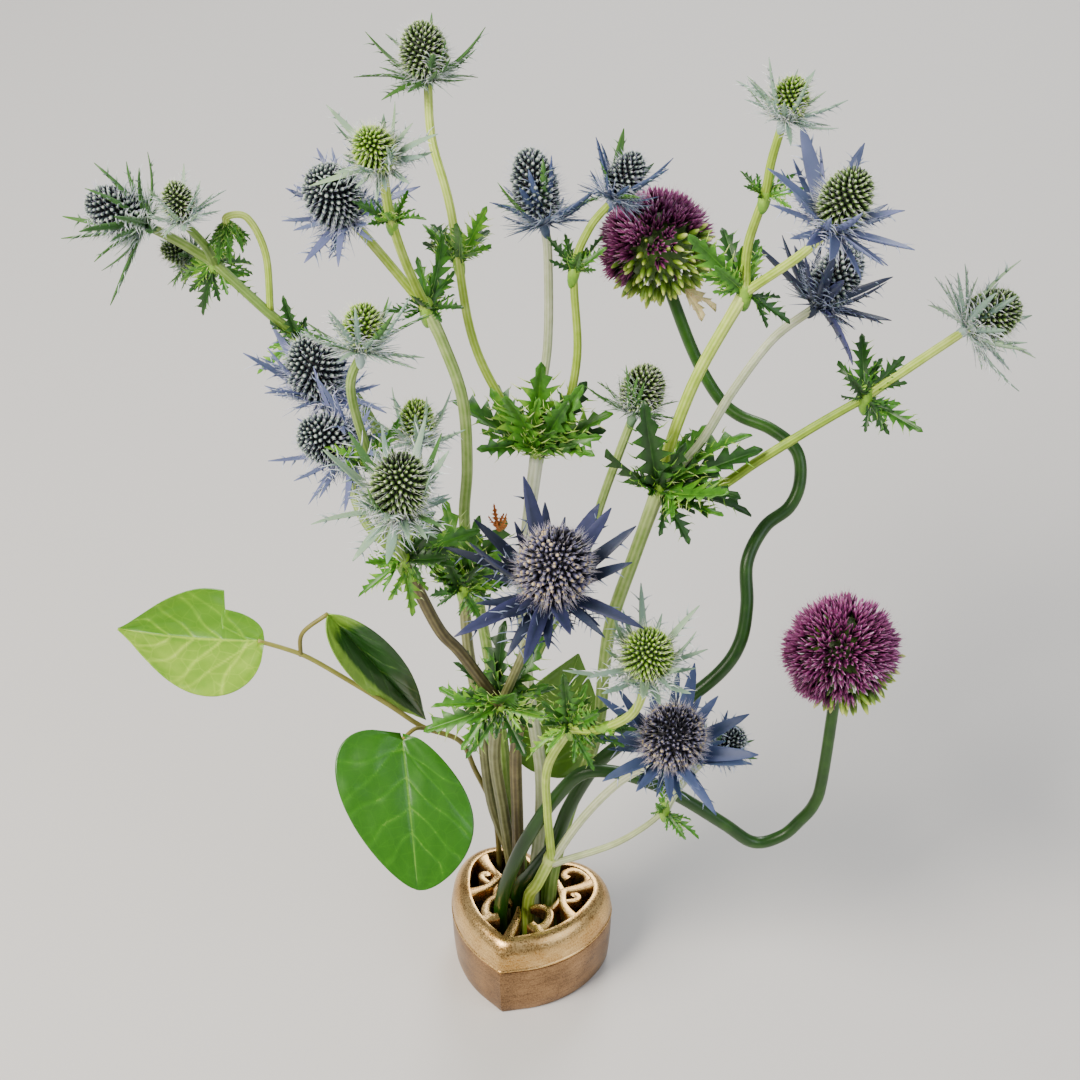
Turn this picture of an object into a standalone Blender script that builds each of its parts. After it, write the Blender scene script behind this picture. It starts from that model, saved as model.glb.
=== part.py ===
"""Ikebana arrangement: sea holly, two drumstick alliums and a leafy vine, standing in a small
heart-shaped brass vase with an openwork lid.

Lengths below are in millimetres and are scaled to metres as each mesh is made. +Z is up, -Y is
the front, and the origin is under the middle of the vase's flat foot. Each plant piece is placed
by a short route: the points that its middle line passes through.
"""

import math

import bmesh
import bpy
from mathutils import Matrix, Vector

MM = 0.001
SHARP_ANGLE = math.radians(40)
GAP = 0.3  # clearance between neighbouring solids

# Vase
VASE_TURN = -18.0  # degrees; the heart's point turns a little to the left
LOBE_X, LOBE_Y, LOBE_R = 9.8, 7.9, 15.3  # centre and radius of a lobe of the heart
SIDE_R, SIDE_START = 34.0, -8.0  # the side's long arc, and where it leaves the lobe, in degrees
CLEFT_R = 0.6  # rounding of the cleft between the lobes
BODY_H, VASE_H = 18.0, 28.0
WALL, FLOOR = 1.6, 3.0
WINDOW_INSET = 6.2  # from the widest outline to the window's edge
RIM_H = 2.6  # height of the window's edge
LIP_D, LIP_WALL = 1.0, 1.1  # locating lip under the lid
SCROLL_W, SCROLL_H = 1.6, 3.4
BAR_W = 1.9  # the bar from the front corner
SCROLL_DROP = 0.25  # the scrolls' tops lie just under the window's edge
SCROLL_PARTS = 3  # straight parts between two points of a scroll

# Plant
STEM_R, BRANCH_R, STALK_R = 1.7, 1.5, 1.2
ALLIUM_R, VINE_R = 2.1, 0.8
KNOT_R = 3.0  # the knuckle that a leaf whorl grows from
FOOT_Z = FLOOR + GAP  # cut ends stand here
BRACT_W, BRACT_T = 2.2, 0.9
LEAF_W, LEAF_T = 6.5, 1.1
BLADE_T = 0.7  # thickness of a vine leaf
STEP = 9.0  # spacing of the points along a stem


def clear_scene():
    for old in list(bpy.data.objects):
        bpy.data.objects.remove(old)


def make_collection(name, hidden=False):
    collection = bpy.data.collections.new(name)
    bpy.context.scene.collection.children.link(collection)
    collection.hide_render = hidden
    return collection


def make_material(name, colour, roughness, metallic=0.0):
    material = bpy.data.materials.new(name)
    material.use_nodes = True
    shader = material.node_tree.nodes["Principled BSDF"]
    shader.inputs["Base Color"].default_value = (*colour, 1.0)
    shader.inputs["Roughness"].default_value = roughness
    shader.inputs["Metallic"].default_value = metallic
    return material


clear_scene()
PARTS = make_collection("ikebana_arrangement")
TOOLS = make_collection("tools", hidden=True)

SATIN_BRASS = make_material("satin_brass", (0.55, 0.38, 0.18), 0.35, 1.0)
BROWN_BRASS = make_material("brown_brass", (0.35, 0.22, 0.13), 0.45, 1.0)
STEM_GREEN = make_material("stem_green", (0.22, 0.30, 0.08), 0.5)
LEAF_GREEN = make_material("leaf_green", (0.10, 0.28, 0.03), 0.5)
HOLLY_BLUE = make_material("holly_blue", (0.25, 0.32, 0.42), 0.6)
ALLIUM_PURPLE = make_material("allium_purple", (0.25, 0.03, 0.16), 0.6)
ALLIUM_GREEN = make_material("allium_green", (0.03, 0.12, 0.03), 0.4)


def place_mesh(name, mesh, material, collection=None):
    """Puts a mesh into the scene as one named piece, in metres."""
    mesh.transform(Matrix.Scale(MM, 4))
    mesh.materials.clear()
    if material:
        mesh.materials.append(material)
    piece = bpy.data.objects.new(name, mesh)
    (collection or PARTS).objects.link(piece)
    if collection is TOOLS:
        piece.hide_render = True
        piece.display_type = "WIRE"
    return piece


def mesh_from(bm, name):
    """Turns a bmesh into a mesh with its faces pointing outwards."""
    bmesh.ops.recalc_face_normals(bm, faces=bm.faces)
    mesh = bpy.data.meshes.new(name)
    bm.to_mesh(mesh)
    bm.free()
    mesh.shade_smooth()
    mesh.set_sharp_from_angle(angle=SHARP_ANGLE)
    return mesh


def join(target, tool, name="join"):
    modifier = target.modifiers.new(name, "BOOLEAN")
    modifier.operation = "UNION"
    modifier.use_self = True
    modifier.object = tool


# ---- vase ----------------------------------------------------------------------------------


def heart(inset):
    """The heart's outline, moved inwards by inset: cleft arc, lobe and side, then mirrored."""
    cleft_y = LOBE_Y + math.sqrt(LOBE_R**2 - LOBE_X**2)
    start = math.atan2(cleft_y - LOBE_Y, -LOBE_X)
    leave = math.radians(SIDE_START)
    side_x = LOBE_X - (SIDE_R - LOBE_R) * math.cos(leave)
    side_y = LOBE_Y - (SIDE_R - LOBE_R) * math.sin(leave)
    side_r = SIDE_R - inset
    finish = -math.acos(-side_x / side_r)

    def arc(x, y, radius, first, last, count):
        for i in range(count + 1):
            angle = first + (last - first) * i / count
            yield x + radius * math.cos(angle), y + radius * math.sin(angle)

    cleft_end = math.atan2(LOBE_Y - cleft_y, LOBE_X)
    half = list(arc(0, cleft_y, inset, -math.pi / 2, cleft_end, 2))
    half += list(arc(LOBE_X, LOBE_Y, LOBE_R - inset, start, leave, 11))[1:]
    half += list(arc(side_x, side_y, side_r, leave, finish, 4))[1:]
    return half + [(-x, y) for x, y in reversed(half[1:-1])]


def loft(name, levels, material, ring=False):
    """Skins heart outlines, each given as (inset, height). A ring closes on its first level."""
    turn = Matrix.Rotation(math.radians(VASE_TURN), 3, "Z")
    bm = bmesh.new()
    loops = []
    for inset, height in levels:
        loops.append([bm.verts.new(turn @ Vector((x, y, height))) for x, y in heart(inset)])
    pairs = list(zip(loops, loops[1:]))
    if ring:
        pairs.append((loops[-1], loops[0]))
    for low, high in pairs:
        for i in range(len(low)):
            j = (i + 1) % len(low)
            bm.faces.new((low[i], low[j], high[j], high[i]))
    if not ring:
        bm.faces.new(list(reversed(loops[0])))
        bm.faces.new(loops[-1])
    return place_mesh(name, mesh_from(bm, name), material)


def make_vase_body():
    levels = [
        (CLEFT_R + 0.5, 0.0),
        (CLEFT_R, 0.5),
        (CLEFT_R, BODY_H),
        (CLEFT_R + WALL, BODY_H),
        (CLEFT_R + WALL, FLOOR),
    ]
    return loft("vase_body", levels, BROWN_BRASS)


def dome_levels(outer, low, inner, high, steps):
    """A quarter ellipse from the seam up and in to the window."""
    for i in range(steps + 1):
        angle = math.pi / 2 * i / steps
        yield outer + (inner - outer) * (1 - math.cos(angle)), low + (high - low) * math.sin(angle)


def scroll(name, points, width):
    """One flat-topped scroll of the openwork: a ribbon on edge, given its width by Solidify."""
    turn = Matrix.Rotation(math.radians(VASE_TURN), 4, "Z")
    top = VASE_H - SCROLL_DROP
    bm = bmesh.new()
    path = smooth_route([Vector((x, y, 0)) for x, y in points], SCROLL_PARTS)
    rows = [[bm.verts.new((p.x, p.y, top - drop)) for p in path] for drop in (0, SCROLL_H)]
    for i in range(len(path) - 1):
        bm.faces.new((rows[0][i], rows[0][i + 1], rows[1][i + 1], rows[1][i]))
    mesh = mesh_from(bm, name)
    mesh.transform(turn)
    piece = place_mesh(name, mesh, None, TOOLS)
    solid = piece.modifiers.new("width", "SOLIDIFY")
    solid.thickness = width * MM
    solid.offset = 0
    return piece


def make_vase_lid():
    seam = BODY_H + GAP
    levels = list(dome_levels(CLEFT_R, seam, WINDOW_INSET, VASE_H, 5))
    levels += list(reversed(list(dome_levels(
        CLEFT_R + WALL + GAP + LIP_WALL, seam, WINDOW_INSET, VASE_H - RIM_H, 3))))
    levels += [
        (CLEFT_R + WALL + GAP + LIP_WALL, seam - LIP_D),
        (CLEFT_R + WALL + GAP, seam - LIP_D),
        (CLEFT_R + WALL + GAP, seam),
    ]
    lid = loft("vase_lid", levels, SATIN_BRASS, ring=True)
    join(lid, scroll("scroll_bar", [(0.4, -18), (0.6, -11), (0.4, -7), (-0.4, -4)], BAR_W), "bar")
    scrolls = {
        "front": [(2.9, -3.0), (4.6, -1.7), (7.2, -1.4), (9.3, -3.2), (9.7, -6.2), (8.8, -9.0),
                  (6.8, -9.9), (5.2, -9.0)],
        "foot": [(7.6, -9.2), (9.6, -12.4)],
        "side": [(17.6, -3.4), (14.4, -1.0), (12.0, 1.6), (10.8, 4.4), (10.0, 7.2)],
        "rear": [(9.6, 6.4), (13.4, 9.0), (16.4, 11.6), (18.8, 14.0)],
    }
    for side, word in ((-1, "left"), (1, "right")):
        for label, plan in scrolls.items():
            points = [(side * x, y) for x, y in plan]
            join(lid, scroll(f"scroll_{label}_{word}", points, SCROLL_W), f"{label}_{word}")
    return lid


# ---- stems ---------------------------------------------------------------------------------


def smooth_route(points, parts=6):
    """Points of a smooth curve through the route's own points (Catmull-Rom)."""
    if len(points) < 3:
        return list(points)
    ends = [points[0] * 2 - points[1]] + list(points) + [points[-1] * 2 - points[-2]]
    path = [points[0]]
    for a, b, c, d in zip(ends, ends[1:], ends[2:], ends[3:]):
        for i in range(1, parts + 1):
            t = i / parts
            path.append(
                0.5 * (2 * b + (c - a) * t + (2 * a - 5 * b + 4 * c - d) * t**2
                       + (3 * b - a - 3 * c + d) * t**3)
            )
    return path


def along(path, step, start=0.0, end=0.0):
    """Even points along a path, with lengths cut from its start and its end."""
    lengths = [0.0]
    for a, b in zip(path, path[1:]):
        lengths.append(lengths[-1] + (b - a).length)
    first, last = start, lengths[-1] - end
    count = max(1, round((last - first) / step))
    out = []
    k = 0
    for i in range(count + 1):
        want = first + (last - first) * i / count
        while k < len(path) - 2 and lengths[k + 1] < want:
            k += 1
        part = (want - lengths[k]) / (lengths[k + 1] - lengths[k])
        out.append(path[k].lerp(path[k + 1], part))
    return out


def route(points, start=0.0, end=0.0, step=STEP):
    return along(smooth_route([Vector(p) for p in points]), step, start, end)


def tube(name, path, radius, material, sides=1, collection=None):
    """A round stem: a curve through the path, with filled caps."""
    curve = bpy.data.curves.new(name, "CURVE")
    curve.dimensions = "3D"
    curve.bevel_depth = radius * MM
    curve.bevel_resolution = sides
    curve.use_fill_caps = True
    spline = curve.splines.new("POLY")
    spline.points.add(len(path) - 1)
    for point, place in zip(spline.points, path):
        point.co = (*(place * MM), 1.0)
    curve.materials.append(material)
    stem = bpy.data.objects.new(name, curve)
    (collection or PARTS).objects.link(stem)
    return stem


def as_mesh(curve_object, bm):
    """Adds a curve's own mesh, with its caps welded, to a bmesh in millimetres."""
    bpy.context.view_layer.update()
    graph = bpy.context.evaluated_depsgraph_get()
    mesh = bpy.data.meshes.new_from_object(curve_object.evaluated_get(graph))
    mesh.transform(curve_object.matrix_world)
    mesh.transform(Matrix.Scale(1 / MM, 4))
    bpy.data.objects.remove(curve_object)
    single = bmesh.new()
    single.from_mesh(mesh)
    bmesh.ops.remove_doubles(single, verts=single.verts, dist=0.01)
    single.to_mesh(mesh)
    single.free()
    bm.from_mesh(mesh)
    bpy.data.meshes.remove(mesh)


# ---- leaves and flowers --------------------------------------------------------------------


def facing(direction, flat=Vector((0, 0, 1))):
    """A turn that takes +Z to the direction, with +Y kept near the flat normal."""
    z = direction.normalized()
    x = flat.cross(z)
    if x.length < 0.05:
        x = Vector((0, 1, 0)).cross(z)
    x.normalize()
    return Matrix((x, z.cross(x), z)).transposed().to_4x4()


def blade(bm, root, direction, length, width, thickness, flat=Vector((0, 0, 1))):
    """A narrow tapering leaf: a four-sided cone, flattened."""
    move = Matrix.Translation(root) @ facing(direction, flat)
    move = move @ Matrix.Diagonal((width / 2, thickness / 2, length / 2, 1))
    move = move @ Matrix.Translation((0, 0, 1))
    bmesh.ops.create_cone(
        bm, cap_ends=True, segments=4, radius1=1, radius2=0.12, depth=2, matrix=move
    )


def ellipsoid(bm, centre, axis, radius, half_length, around, up):
    move = Matrix.Translation(centre) @ facing(axis)
    move = move @ Matrix.Diagonal((radius, radius, half_length, 1))
    bmesh.ops.create_uvsphere(bm, u_segments=around, v_segments=up, radius=1, matrix=move)


def flower(name, base, tip, width, stalk, start=KNOT_R + GAP, reach=12.0, bracts=6, turn=0.0):
    """A sea holly flower: domed cone, collar of bracts, and the stalk down to its fork."""
    base, tip = Vector(base), Vector(tip)
    axis = (tip - base).normalized()
    cone = bmesh.new()
    length = (tip - base).length
    ellipsoid(cone, base + axis * length * 0.5, axis, width / 2, length / 2, 8, 5)
    piece = place_mesh(name, mesh_from(cone, name), HOLLY_BLUE)
    rest = bmesh.new()
    side = axis.orthogonal().normalized()
    for i in range(bracts):
        spin = Matrix.Rotation(math.radians(turn) + math.tau * i / bracts, 3, axis)
        out = spin @ side
        lift = axis * (0.25 + 0.2 * (i % 2))
        blade(rest, base + axis * 1.2, out + lift, reach, BRACT_W, BRACT_T, axis)
    path = route(list(stalk) + [base, base + axis * 3], start)
    as_mesh(tube(name + "_stalk", path, STALK_R, None), rest)
    tool = place_mesh(name + "_collar", mesh_from(rest, name), None, TOOLS)
    join(piece, tool)
    return piece


def whorl(name, centre, leaves, knot=KNOT_R):
    """A knuckle of the stem with its whorl of leaves. Each leaf is a vector to its tip."""
    centre = Vector(centre)
    bm = bmesh.new()
    ellipsoid(bm, centre, Vector((0, 0, 1)), knot, knot, 8, 6)
    piece = place_mesh(name, mesh_from(bm, name), LEAF_GREEN)
    rest = bmesh.new()
    for leaf in leaves:
        leaf = Vector(leaf)
        flat = Vector((0, 0, 1)) if abs(leaf.normalized().z) < 0.8 else Vector((0, -1, 0))
        blade(rest, centre, leaf, leaf.length, min(LEAF_W, knot * 2), LEAF_T, flat)
    tool = place_mesh(name + "_leaves", mesh_from(rest, name), None, TOOLS)
    join(piece, tool)
    return piece


def vine_leaf(name, base, tip, side, cup, fold=0.0):
    """A broad leaf: a grid shaped to a rounded outline, cupped along its midrib, then thickened.

    side is the vector from the midrib to the widest edge; fold swings both halves upwards.
    """
    base, tip, side = Vector(base), Vector(tip), Vector(side)
    spine = tip - base
    normal = spine.cross(side).normalized()
    bm = bmesh.new()
    bmesh.ops.create_grid(bm, x_segments=8, y_segments=6, size=1)
    for vert in bm.verts:
        u, v = (vert.co.x + 1) / 2, vert.co.y
        wide = math.sin(math.pi * u**0.62) ** 0.7 if 0 < u < 1 else 0.0
        wide = 0.04 + 0.96 * wide
        arch = math.sin(math.pi * u) * cup
        across = math.cos(math.radians(fold)) * v * wide
        up = math.sin(math.radians(fold)) * abs(v) * wide * side.length
        vert.co = base + spine * u + side * across + normal * (up + arch * (1 - v * v))
    mesh = mesh_from(bm, name)
    piece = place_mesh(name, mesh, LEAF_GREEN)
    solid = piece.modifiers.new("thickness", "SOLIDIFY")
    solid.thickness = BLADE_T * MM
    solid.offset = 0
    return piece


def allium_head(name, centre, axis, radius, half_length):
    bm = bmesh.new()
    ellipsoid(bm, Vector(centre), Vector(axis), radius, half_length, 12, 8)
    return place_mesh(name, mesh_from(bm, name), ALLIUM_PURPLE)


# ---- the arrangement -----------------------------------------------------------------------

AT_KNOT = KNOT_R + GAP  # a stem stops this far from the middle of a knuckle

# Knuckles where leaf whorls grow, named by their place in the arrangement
LOW = (-6, -12, 116)
LEFT = (-30, -22, 175)
MIDDLE_LEFT = (-16, 8, 140)
HIGH_LEFT = (-25, 36, 213)
MIDDLE = (4, 38, 164)
RIGHT = (37, 22, 164)
HIGH_RIGHT = (58, 30, 222)
FAR_RIGHT = (92, 30, 189)
FRONT = (13, -20, 115)
FAR_LEFT = (-79, 30, 231)
FRONT_RIGHT = (40, -14, 78)


def make_stems():
    # Cut ends stand on the cup's floor; each stem leans out through the lid's window.
    tube("stem_low_left", route([(-3.0, 9.6, FOOT_Z), (-3.6, 10.2, 30), (-6, 4, 61), (-8, -4, 91), LOW],
                                end=AT_KNOT), STEM_R, STEM_GREEN)
    tube("stem_low_right", route([(-1, 5.6, FOOT_Z), (-1.4, 6.7, 30), (-1.8, 2.5, 61), (-2, -5, 91),
                                  (-1, -11, 109)]), STEM_R, STEM_GREEN)
    tube("stem_back_left", route([(-4.6, 13, FOOT_Z), (-4.2, 14.2, 30), (-9.5, 8, 61), (-12, 5, 95),
                                  (-15, 5, 122), MIDDLE_LEFT], end=AT_KNOT), BRANCH_R, STEM_GREEN)
    tube("stem_high_left", route([(-1, 12.6, FOOT_Z), (-0.7, 13.5, 30), (-4.5, 14.5, 55), (-6, 16, 77),
                                  (-9, 19, 100), (-13, 22, 129), (-16, 25, 150), (-15, 28, 168),
                                  (-16, 31, 188), (-21, 34, 204), HIGH_LEFT],
                                 end=AT_KNOT), BRANCH_R, STEM_GREEN)
    tube("stem_middle", route([(3, 3, FOOT_Z), (3, 4, 30), (5, 8, 53), (5, 12, 70), (3, 15, 85),
                               (1, 18, 102), (0, 22, 125), (1, 28, 142), MIDDLE],
                              end=AT_KNOT), STEM_R, STEM_GREEN)
    tube("stem_right", route([(8.4, 1.9, FOOT_Z), (8.2, 3.3, 30), (13, 8, 54), (19, 11, 74), (22, 12, 90),
                              (23, 13, 108), (25, 15, 124), (31, 18, 145), RIGHT],
                             end=AT_KNOT), STEM_R, STEM_GREEN)
    tube("stem_front", route([(1.2, -2, FOOT_Z), (1.4, -0.9, 28), (4.2, -4.4, 39), (8, -4, 48)]),
         STEM_R, STEM_GREEN)
    tube("stem_front_fork", route([(8.3, -4.3, 48.6), (7, -8, 72), (7, -13, 94), FRONT],
                                  end=AT_KNOT - 0.6), STALK_R, STEM_GREEN)
    tube("stem_low_branch", route([(10.4, -5.6, 46), (25, -7, 57), (34, -10, 67), FRONT_RIGHT],
                                  end=2.0 + GAP), 1.0, STEM_GREEN)
    # Branches between the knuckles
    tube("branch_left", route([LOW, (-16, -17, 139), (-22, -19, 150), LEFT],
                              start=AT_KNOT, end=AT_KNOT), BRANCH_R, STEM_GREEN)
    tube("branch_far_left", route([MIDDLE_LEFT, (-25, 14, 159), (-33, 17, 174), (-43, 20, 195),
                                   (-55, 21, 211), (-65, 22, 221), FAR_LEFT],
                                  start=AT_KNOT, end=2.4 + GAP), BRANCH_R, STEM_GREEN)
    tube("branch_high_right", route([RIGHT, (39, 23, 175), (43, 25, 189), (48, 27, 202), HIGH_RIGHT],
                                    start=AT_KNOT, end=AT_KNOT), BRANCH_R, STEM_GREEN)
    tube("branch_far_right", route([RIGHT, (51, 25.5, 161), (65, 28, 170), (80, 29, 181), FAR_RIGHT],
                                   start=AT_KNOT, end=AT_KNOT), BRANCH_R, STEM_GREEN)


def make_whorls():
    whorl("leaf_whorl_low", LOW, [(-19, -4, -4), (13, -7, 2), (-7, -9, -10), (-9, 7, 10), (14, 7, -1)])
    whorl("leaf_whorl_left", LEFT, [(-10, -3, -9), (12, -6, 4), (13, 7, -3), (3, -9, -9)])
    whorl("leaf_whorl_middle_left", MIDDLE_LEFT, [(9, -4, 13), (-9, 3, -3), (-4, -6, 14), (8, 6, 2)])
    whorl("leaf_whorl_high_left", HIGH_LEFT, [(6, 9, 15), (-11, -2, 0), (8, -7, 6)])
    whorl("leaf_whorl_middle", MIDDLE, [(-4, -12, 20), (17, -4, 8), (-17, -3, 9), (15, 11, 6), (4, -11, 6)])
    whorl("leaf_whorl_right", RIGHT, [(17, -14, 5), (-4, -10, 25), (8, -10, -8), (13, 15, 8), (-8, 8, 2)])
    whorl("leaf_whorl_high_right", HIGH_RIGHT, [(-13, 3, 16), (-5, 12, 11), (11, -4, -5)])
    whorl("leaf_whorl_far_right", FAR_RIGHT, [(-1, 11, 12), (13, -7, -6), (-4, -7, 8)])
    whorl("leaf_whorl_front", FRONT, [(-2, -3, 21), (13, -4, -3), (-12, -3, -4), (9, -6, 12)], 2.4)
    whorl("leaf_whorl_far_left", FAR_LEFT, [(-4, -4, -12), (8, 10, -5), (-11, 3, -6)], 2.4)
    whorl("leaf_whorl_front_right", FRONT_RIGHT, [(9, -5, -4), (0, 9, 1), (-3, -5, 8)], 2.0)


def make_flowers():
    flower("flower_01", (-25, 78, 258), (-27, 81, 274), 12.5,
           [MIDDLE, (-6, 41, 181), (-14, 46, 200), (-19, 60, 229), (-24, 70, 245)], reach=15)
    flower("flower_02", (-34, 22, 264), (-37, 14, 277), 10,
           [HIGH_LEFT, (-30, 30, 232), (-33, 25, 249)], turn=20)
    flower("flower_03", (-45, 38, 240), (-51, 31, 257), 14,
           [HIGH_LEFT, (-34, 38, 225), (-41, 38, 235)], start=5.5, reach=14)
    flower("flower_04", (-95, 30, 242), (-110, 31, 250), 11.5, [FAR_LEFT, (-87, 30, 237)], reach=14)
    flower("flower_05", (-84, 20, 249), (-86, 21, 260), 7.5, [FAR_LEFT, (-80, 25, 239)], reach=8)
    flower("flower_06", (-86, 42, 225), (-94, 40, 230), 6, [FAR_LEFT, (-82, 36, 226)], reach=7)
    flower("flower_07", (6, 62, 223), (1, 71, 242), 12,
           [MIDDLE, (4.5, 44.5, 175), (7, 51, 193), (7, 60, 215)], reach=14, turn=15)
    flower("flower_08", (24, 58, 233), (31, 63, 245), 9,
           [MIDDLE, (11, 41, 173), (15, 46, 192), (14, 50, 216), (18, 54, 227)], start=4.5, reach=11)
    flower("flower_09", (64, 22, 276), (67, 24, 287), 8.5,
           [HIGH_RIGHT, (58, 29, 237), (61, 25, 254), (62, 24, 264)], start=3.6, reach=13)
    flower("flower_10", (77, 20, 247), (84, 19, 264), 12.5, [HIGH_RIGHT, (71, 24, 237)], reach=16)
    flower("flower_11", (79, 48, 206), (90, 54, 221), 12,
           [RIGHT, (48, 29, 174), (57, 37, 186), (68, 45, 198)], start=6, reach=15)
    flower("flower_12", (118, 38, 205), (132, 40, 214), 13, [FAR_RIGHT, (106, 34, 198)], start=3.7, reach=15)
    flower("flower_13", (30, 30, 183), (35, 37, 195), 11.5,
           [(3.5, 19.5, 106), (8, 21, 116), (14, 22, 128), (22, 26, 158)], start=0, reach=12, turn=30)
    flower("flower_14", (-51, 8, 204), (-54, 9, 222), 14, [LEFT, (-38, -11, 183), (-46, 1, 194)],
           start=4.6, reach=13)
    flower("flower_15", (-38, -20, 236), (-37, -14, 247), 9.5,
           [LEFT, (-34, -17, 190), (-38, -16, 204), (-41, -20, 226)], reach=12)
    flower("flower_16", (-43, -6, 199), (-55, -12, 208), 12.5, [LEFT, (-39, -19, 184), (-43, -12, 192)], start=4.6, reach=12)
    flower("flower_17", (-26, -12, 203), (-26, -5, 213), 8.5, [LEFT, (-25.5, -16, 189)], start=5.5, reach=9)
    flower("flower_18", (-30, -34, 199), (-28, -38, 218), 14, [LEFT, (-31, -30, 188)], reach=15)
    flower("flower_19", (7, -30, 171), (10, -37, 193), 17.5,
           [LOW, (1, -20, 143), (5, -26, 160)], start=5.5, reach=19, bracts=8)
    flower("flower_20", (32, -38, 151), (32, -42, 166), 13,
           [FRONT, (20, -25, 119), (28, -31, 129), (31, -36, 140)], reach=14)
    flower("flower_21", (40, -18, 104), (42, -24, 122), 17,
           [(10.6, -3.0, 47.5), (17, -7, 68), (26, -12, 86), (35, -16, 98)], start=0, reach=16,
           bracts=7)
    flower("flower_22", (54, -3, 90), (62, -3, 98), 9,
           [FRONT_RIGHT, (44, -9, 82), (49, -5, 86)], start=3.0, reach=9)
    bud = bmesh.new()
    ellipsoid(bud, Vector((-74, 26, 242)), Vector((0, 0, 1)), 2.6, 4.0, 8, 6)
    piece = place_mesh("nodding_bud", mesh_from(bud, "nodding_bud"), LEAF_GREEN)
    rest = bmesh.new()
    path = route([(-63.8, 23.6, 222.6), (-65, 26, 236), (-69, 27, 246), (-74, 26, 247), (-74, 26, 243)])
    as_mesh(tube("nodding_bud_stalk", path, 0.9, None), rest)
    join(piece, place_mesh("nodding_bud_stem", mesh_from(rest, "nodding_bud_stem"), None, TOOLS))


def make_alliums():
    low_axis, high_axis = Vector((0.05, 0.05, 1)), Vector((-0.25, 0.12, 0.95))
    low, high = Vector((89, 8, 118)), Vector((37, 74, 210))
    allium_head("allium_head_low", low, low_axis, 17, 16)
    allium_head("allium_head_high", high, high_axis, 16.5, 15.5)
    low_end = low - low_axis.normalized() * (16 + GAP)
    high_end = high - high_axis.normalized() * (15.5 + GAP)
    tube("allium_stem_low", route([
        (-6.4, -3.6, FOOT_Z + 0.4), (-6.8, -3.2, 28), (-2, -5.2, 50), (4.5, -4.5, 65), (10, -3.5, 74), (15, -3.5, 81),
        (20, -3.5, 83.5), (28, -4, 83), (37, -4, 79), (46, -4, 73), (58, -4, 63), (67, -4, 55.5), (75, -3, 57),
        (80, -2, 62), (84, -1, 68), (86, 1, 77), low_end]), ALLIUM_R, ALLIUM_GREEN)
    tube("allium_stem_high", route([
        (-1.6, 2.0, FOOT_Z + 0.4), (-1.6, 2.2, 28), (2.8, 0.3, 39), (9, 1, 50), (13, 3, 62), (20, 4, 77),
        (28, 5, 86), (42, 7, 97),
        (55, 10, 108), (61, 14, 116), (63, 20, 125), (63, 27, 135), (68, 34, 142), (75, 38, 146),
        (78, 42, 152), (77, 47, 159), (70, 52, 163), (61, 56, 165), (55, 60, 169), (48, 66, 180),
        high_end]), ALLIUM_R, ALLIUM_GREEN)


def make_vine():
    main = route([(-8, 17.6, FOOT_Z), (-7.6, 17.2, 28), (-9, 12, 53), (-14, 7, 74), (-18, 2, 90), (-28, -2, 99),
                  (-37, -4, 109), (-49, -6, 121), (-58, -7, 129), (-64, -8, 133), (-70, -9, 136)])
    bm = bmesh.new()
    as_mesh(tube("vine_main", main, VINE_R, None), bm)
    piece = place_mesh("vine_stem", mesh_from(bm, "vine_stem"), STEM_GREEN)
    rest = bmesh.new()
    as_mesh(tube("vine_stalk", route([(-60, -7.3, 130), (-59, -7.5, 138), (-53, -6, 143)]), 0.6, None), rest)
    as_mesh(tube("vine_stalk", route([(-27, -1.5, 98), (-30, -5, 101), (-32.5, -7.5, 101)]), 0.6, None), rest)
    join(piece, place_mesh("vine_stalks", mesh_from(rest, "vine_stalks"), None, TOOLS))
    vine_leaf("vine_leaf_end", (-71, -9, 136.6), (-107, -14, 145), (0, 15, 6.5), 2)
    vine_leaf("vine_leaf_folded", (-52, -6, 143.6), (-28, 11, 94), (8, 5, 3), 3, 45)
    vine_leaf("vine_leaf_low", (-33.4, -8.6, 100.4), (-29, -36, 69), (20, -1, -4), 2)
    vine_leaf("vine_leaf_back", (6, 17, 62), (16, 27, 101), (13, 0, -5), 2)
    tube("vine_stalk_back", route([(5.6, 4.6, FOOT_Z), (6, 6.2, 30), (6, 13, 48), (6, 16.8, 61)]), 0.8,
         STEM_GREEN)


make_vase_body()
make_vase_lid()
make_stems()
make_whorls()
make_flowers()
make_alliums()
make_vine()
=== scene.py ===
import math
import random

import bpy
import numpy as np
from mathutils import Matrix, Vector, noise


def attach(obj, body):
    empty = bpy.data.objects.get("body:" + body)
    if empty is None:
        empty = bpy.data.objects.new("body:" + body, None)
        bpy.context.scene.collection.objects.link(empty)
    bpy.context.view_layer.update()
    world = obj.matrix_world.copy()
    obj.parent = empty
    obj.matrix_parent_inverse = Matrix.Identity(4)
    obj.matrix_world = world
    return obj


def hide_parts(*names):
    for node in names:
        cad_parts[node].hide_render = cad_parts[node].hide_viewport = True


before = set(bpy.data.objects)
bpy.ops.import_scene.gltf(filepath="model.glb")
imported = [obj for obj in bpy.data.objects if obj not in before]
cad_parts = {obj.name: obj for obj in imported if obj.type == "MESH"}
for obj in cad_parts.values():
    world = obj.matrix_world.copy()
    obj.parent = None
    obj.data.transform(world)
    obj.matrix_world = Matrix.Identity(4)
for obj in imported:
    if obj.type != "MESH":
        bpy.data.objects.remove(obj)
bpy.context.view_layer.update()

# Lengths are in millimetres up to the studio, and become metres as each mesh is made. Routes and
# places repeat the ones that the CAD pieces were made from.
mm = 0.001
goldenAngle = math.pi * (3 - math.sqrt(5))  # the turn from one bud to the next in a flower's spiral
smallestAxis = 0.05  # a sine below this counts as two directions in line


# Small helpers

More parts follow.
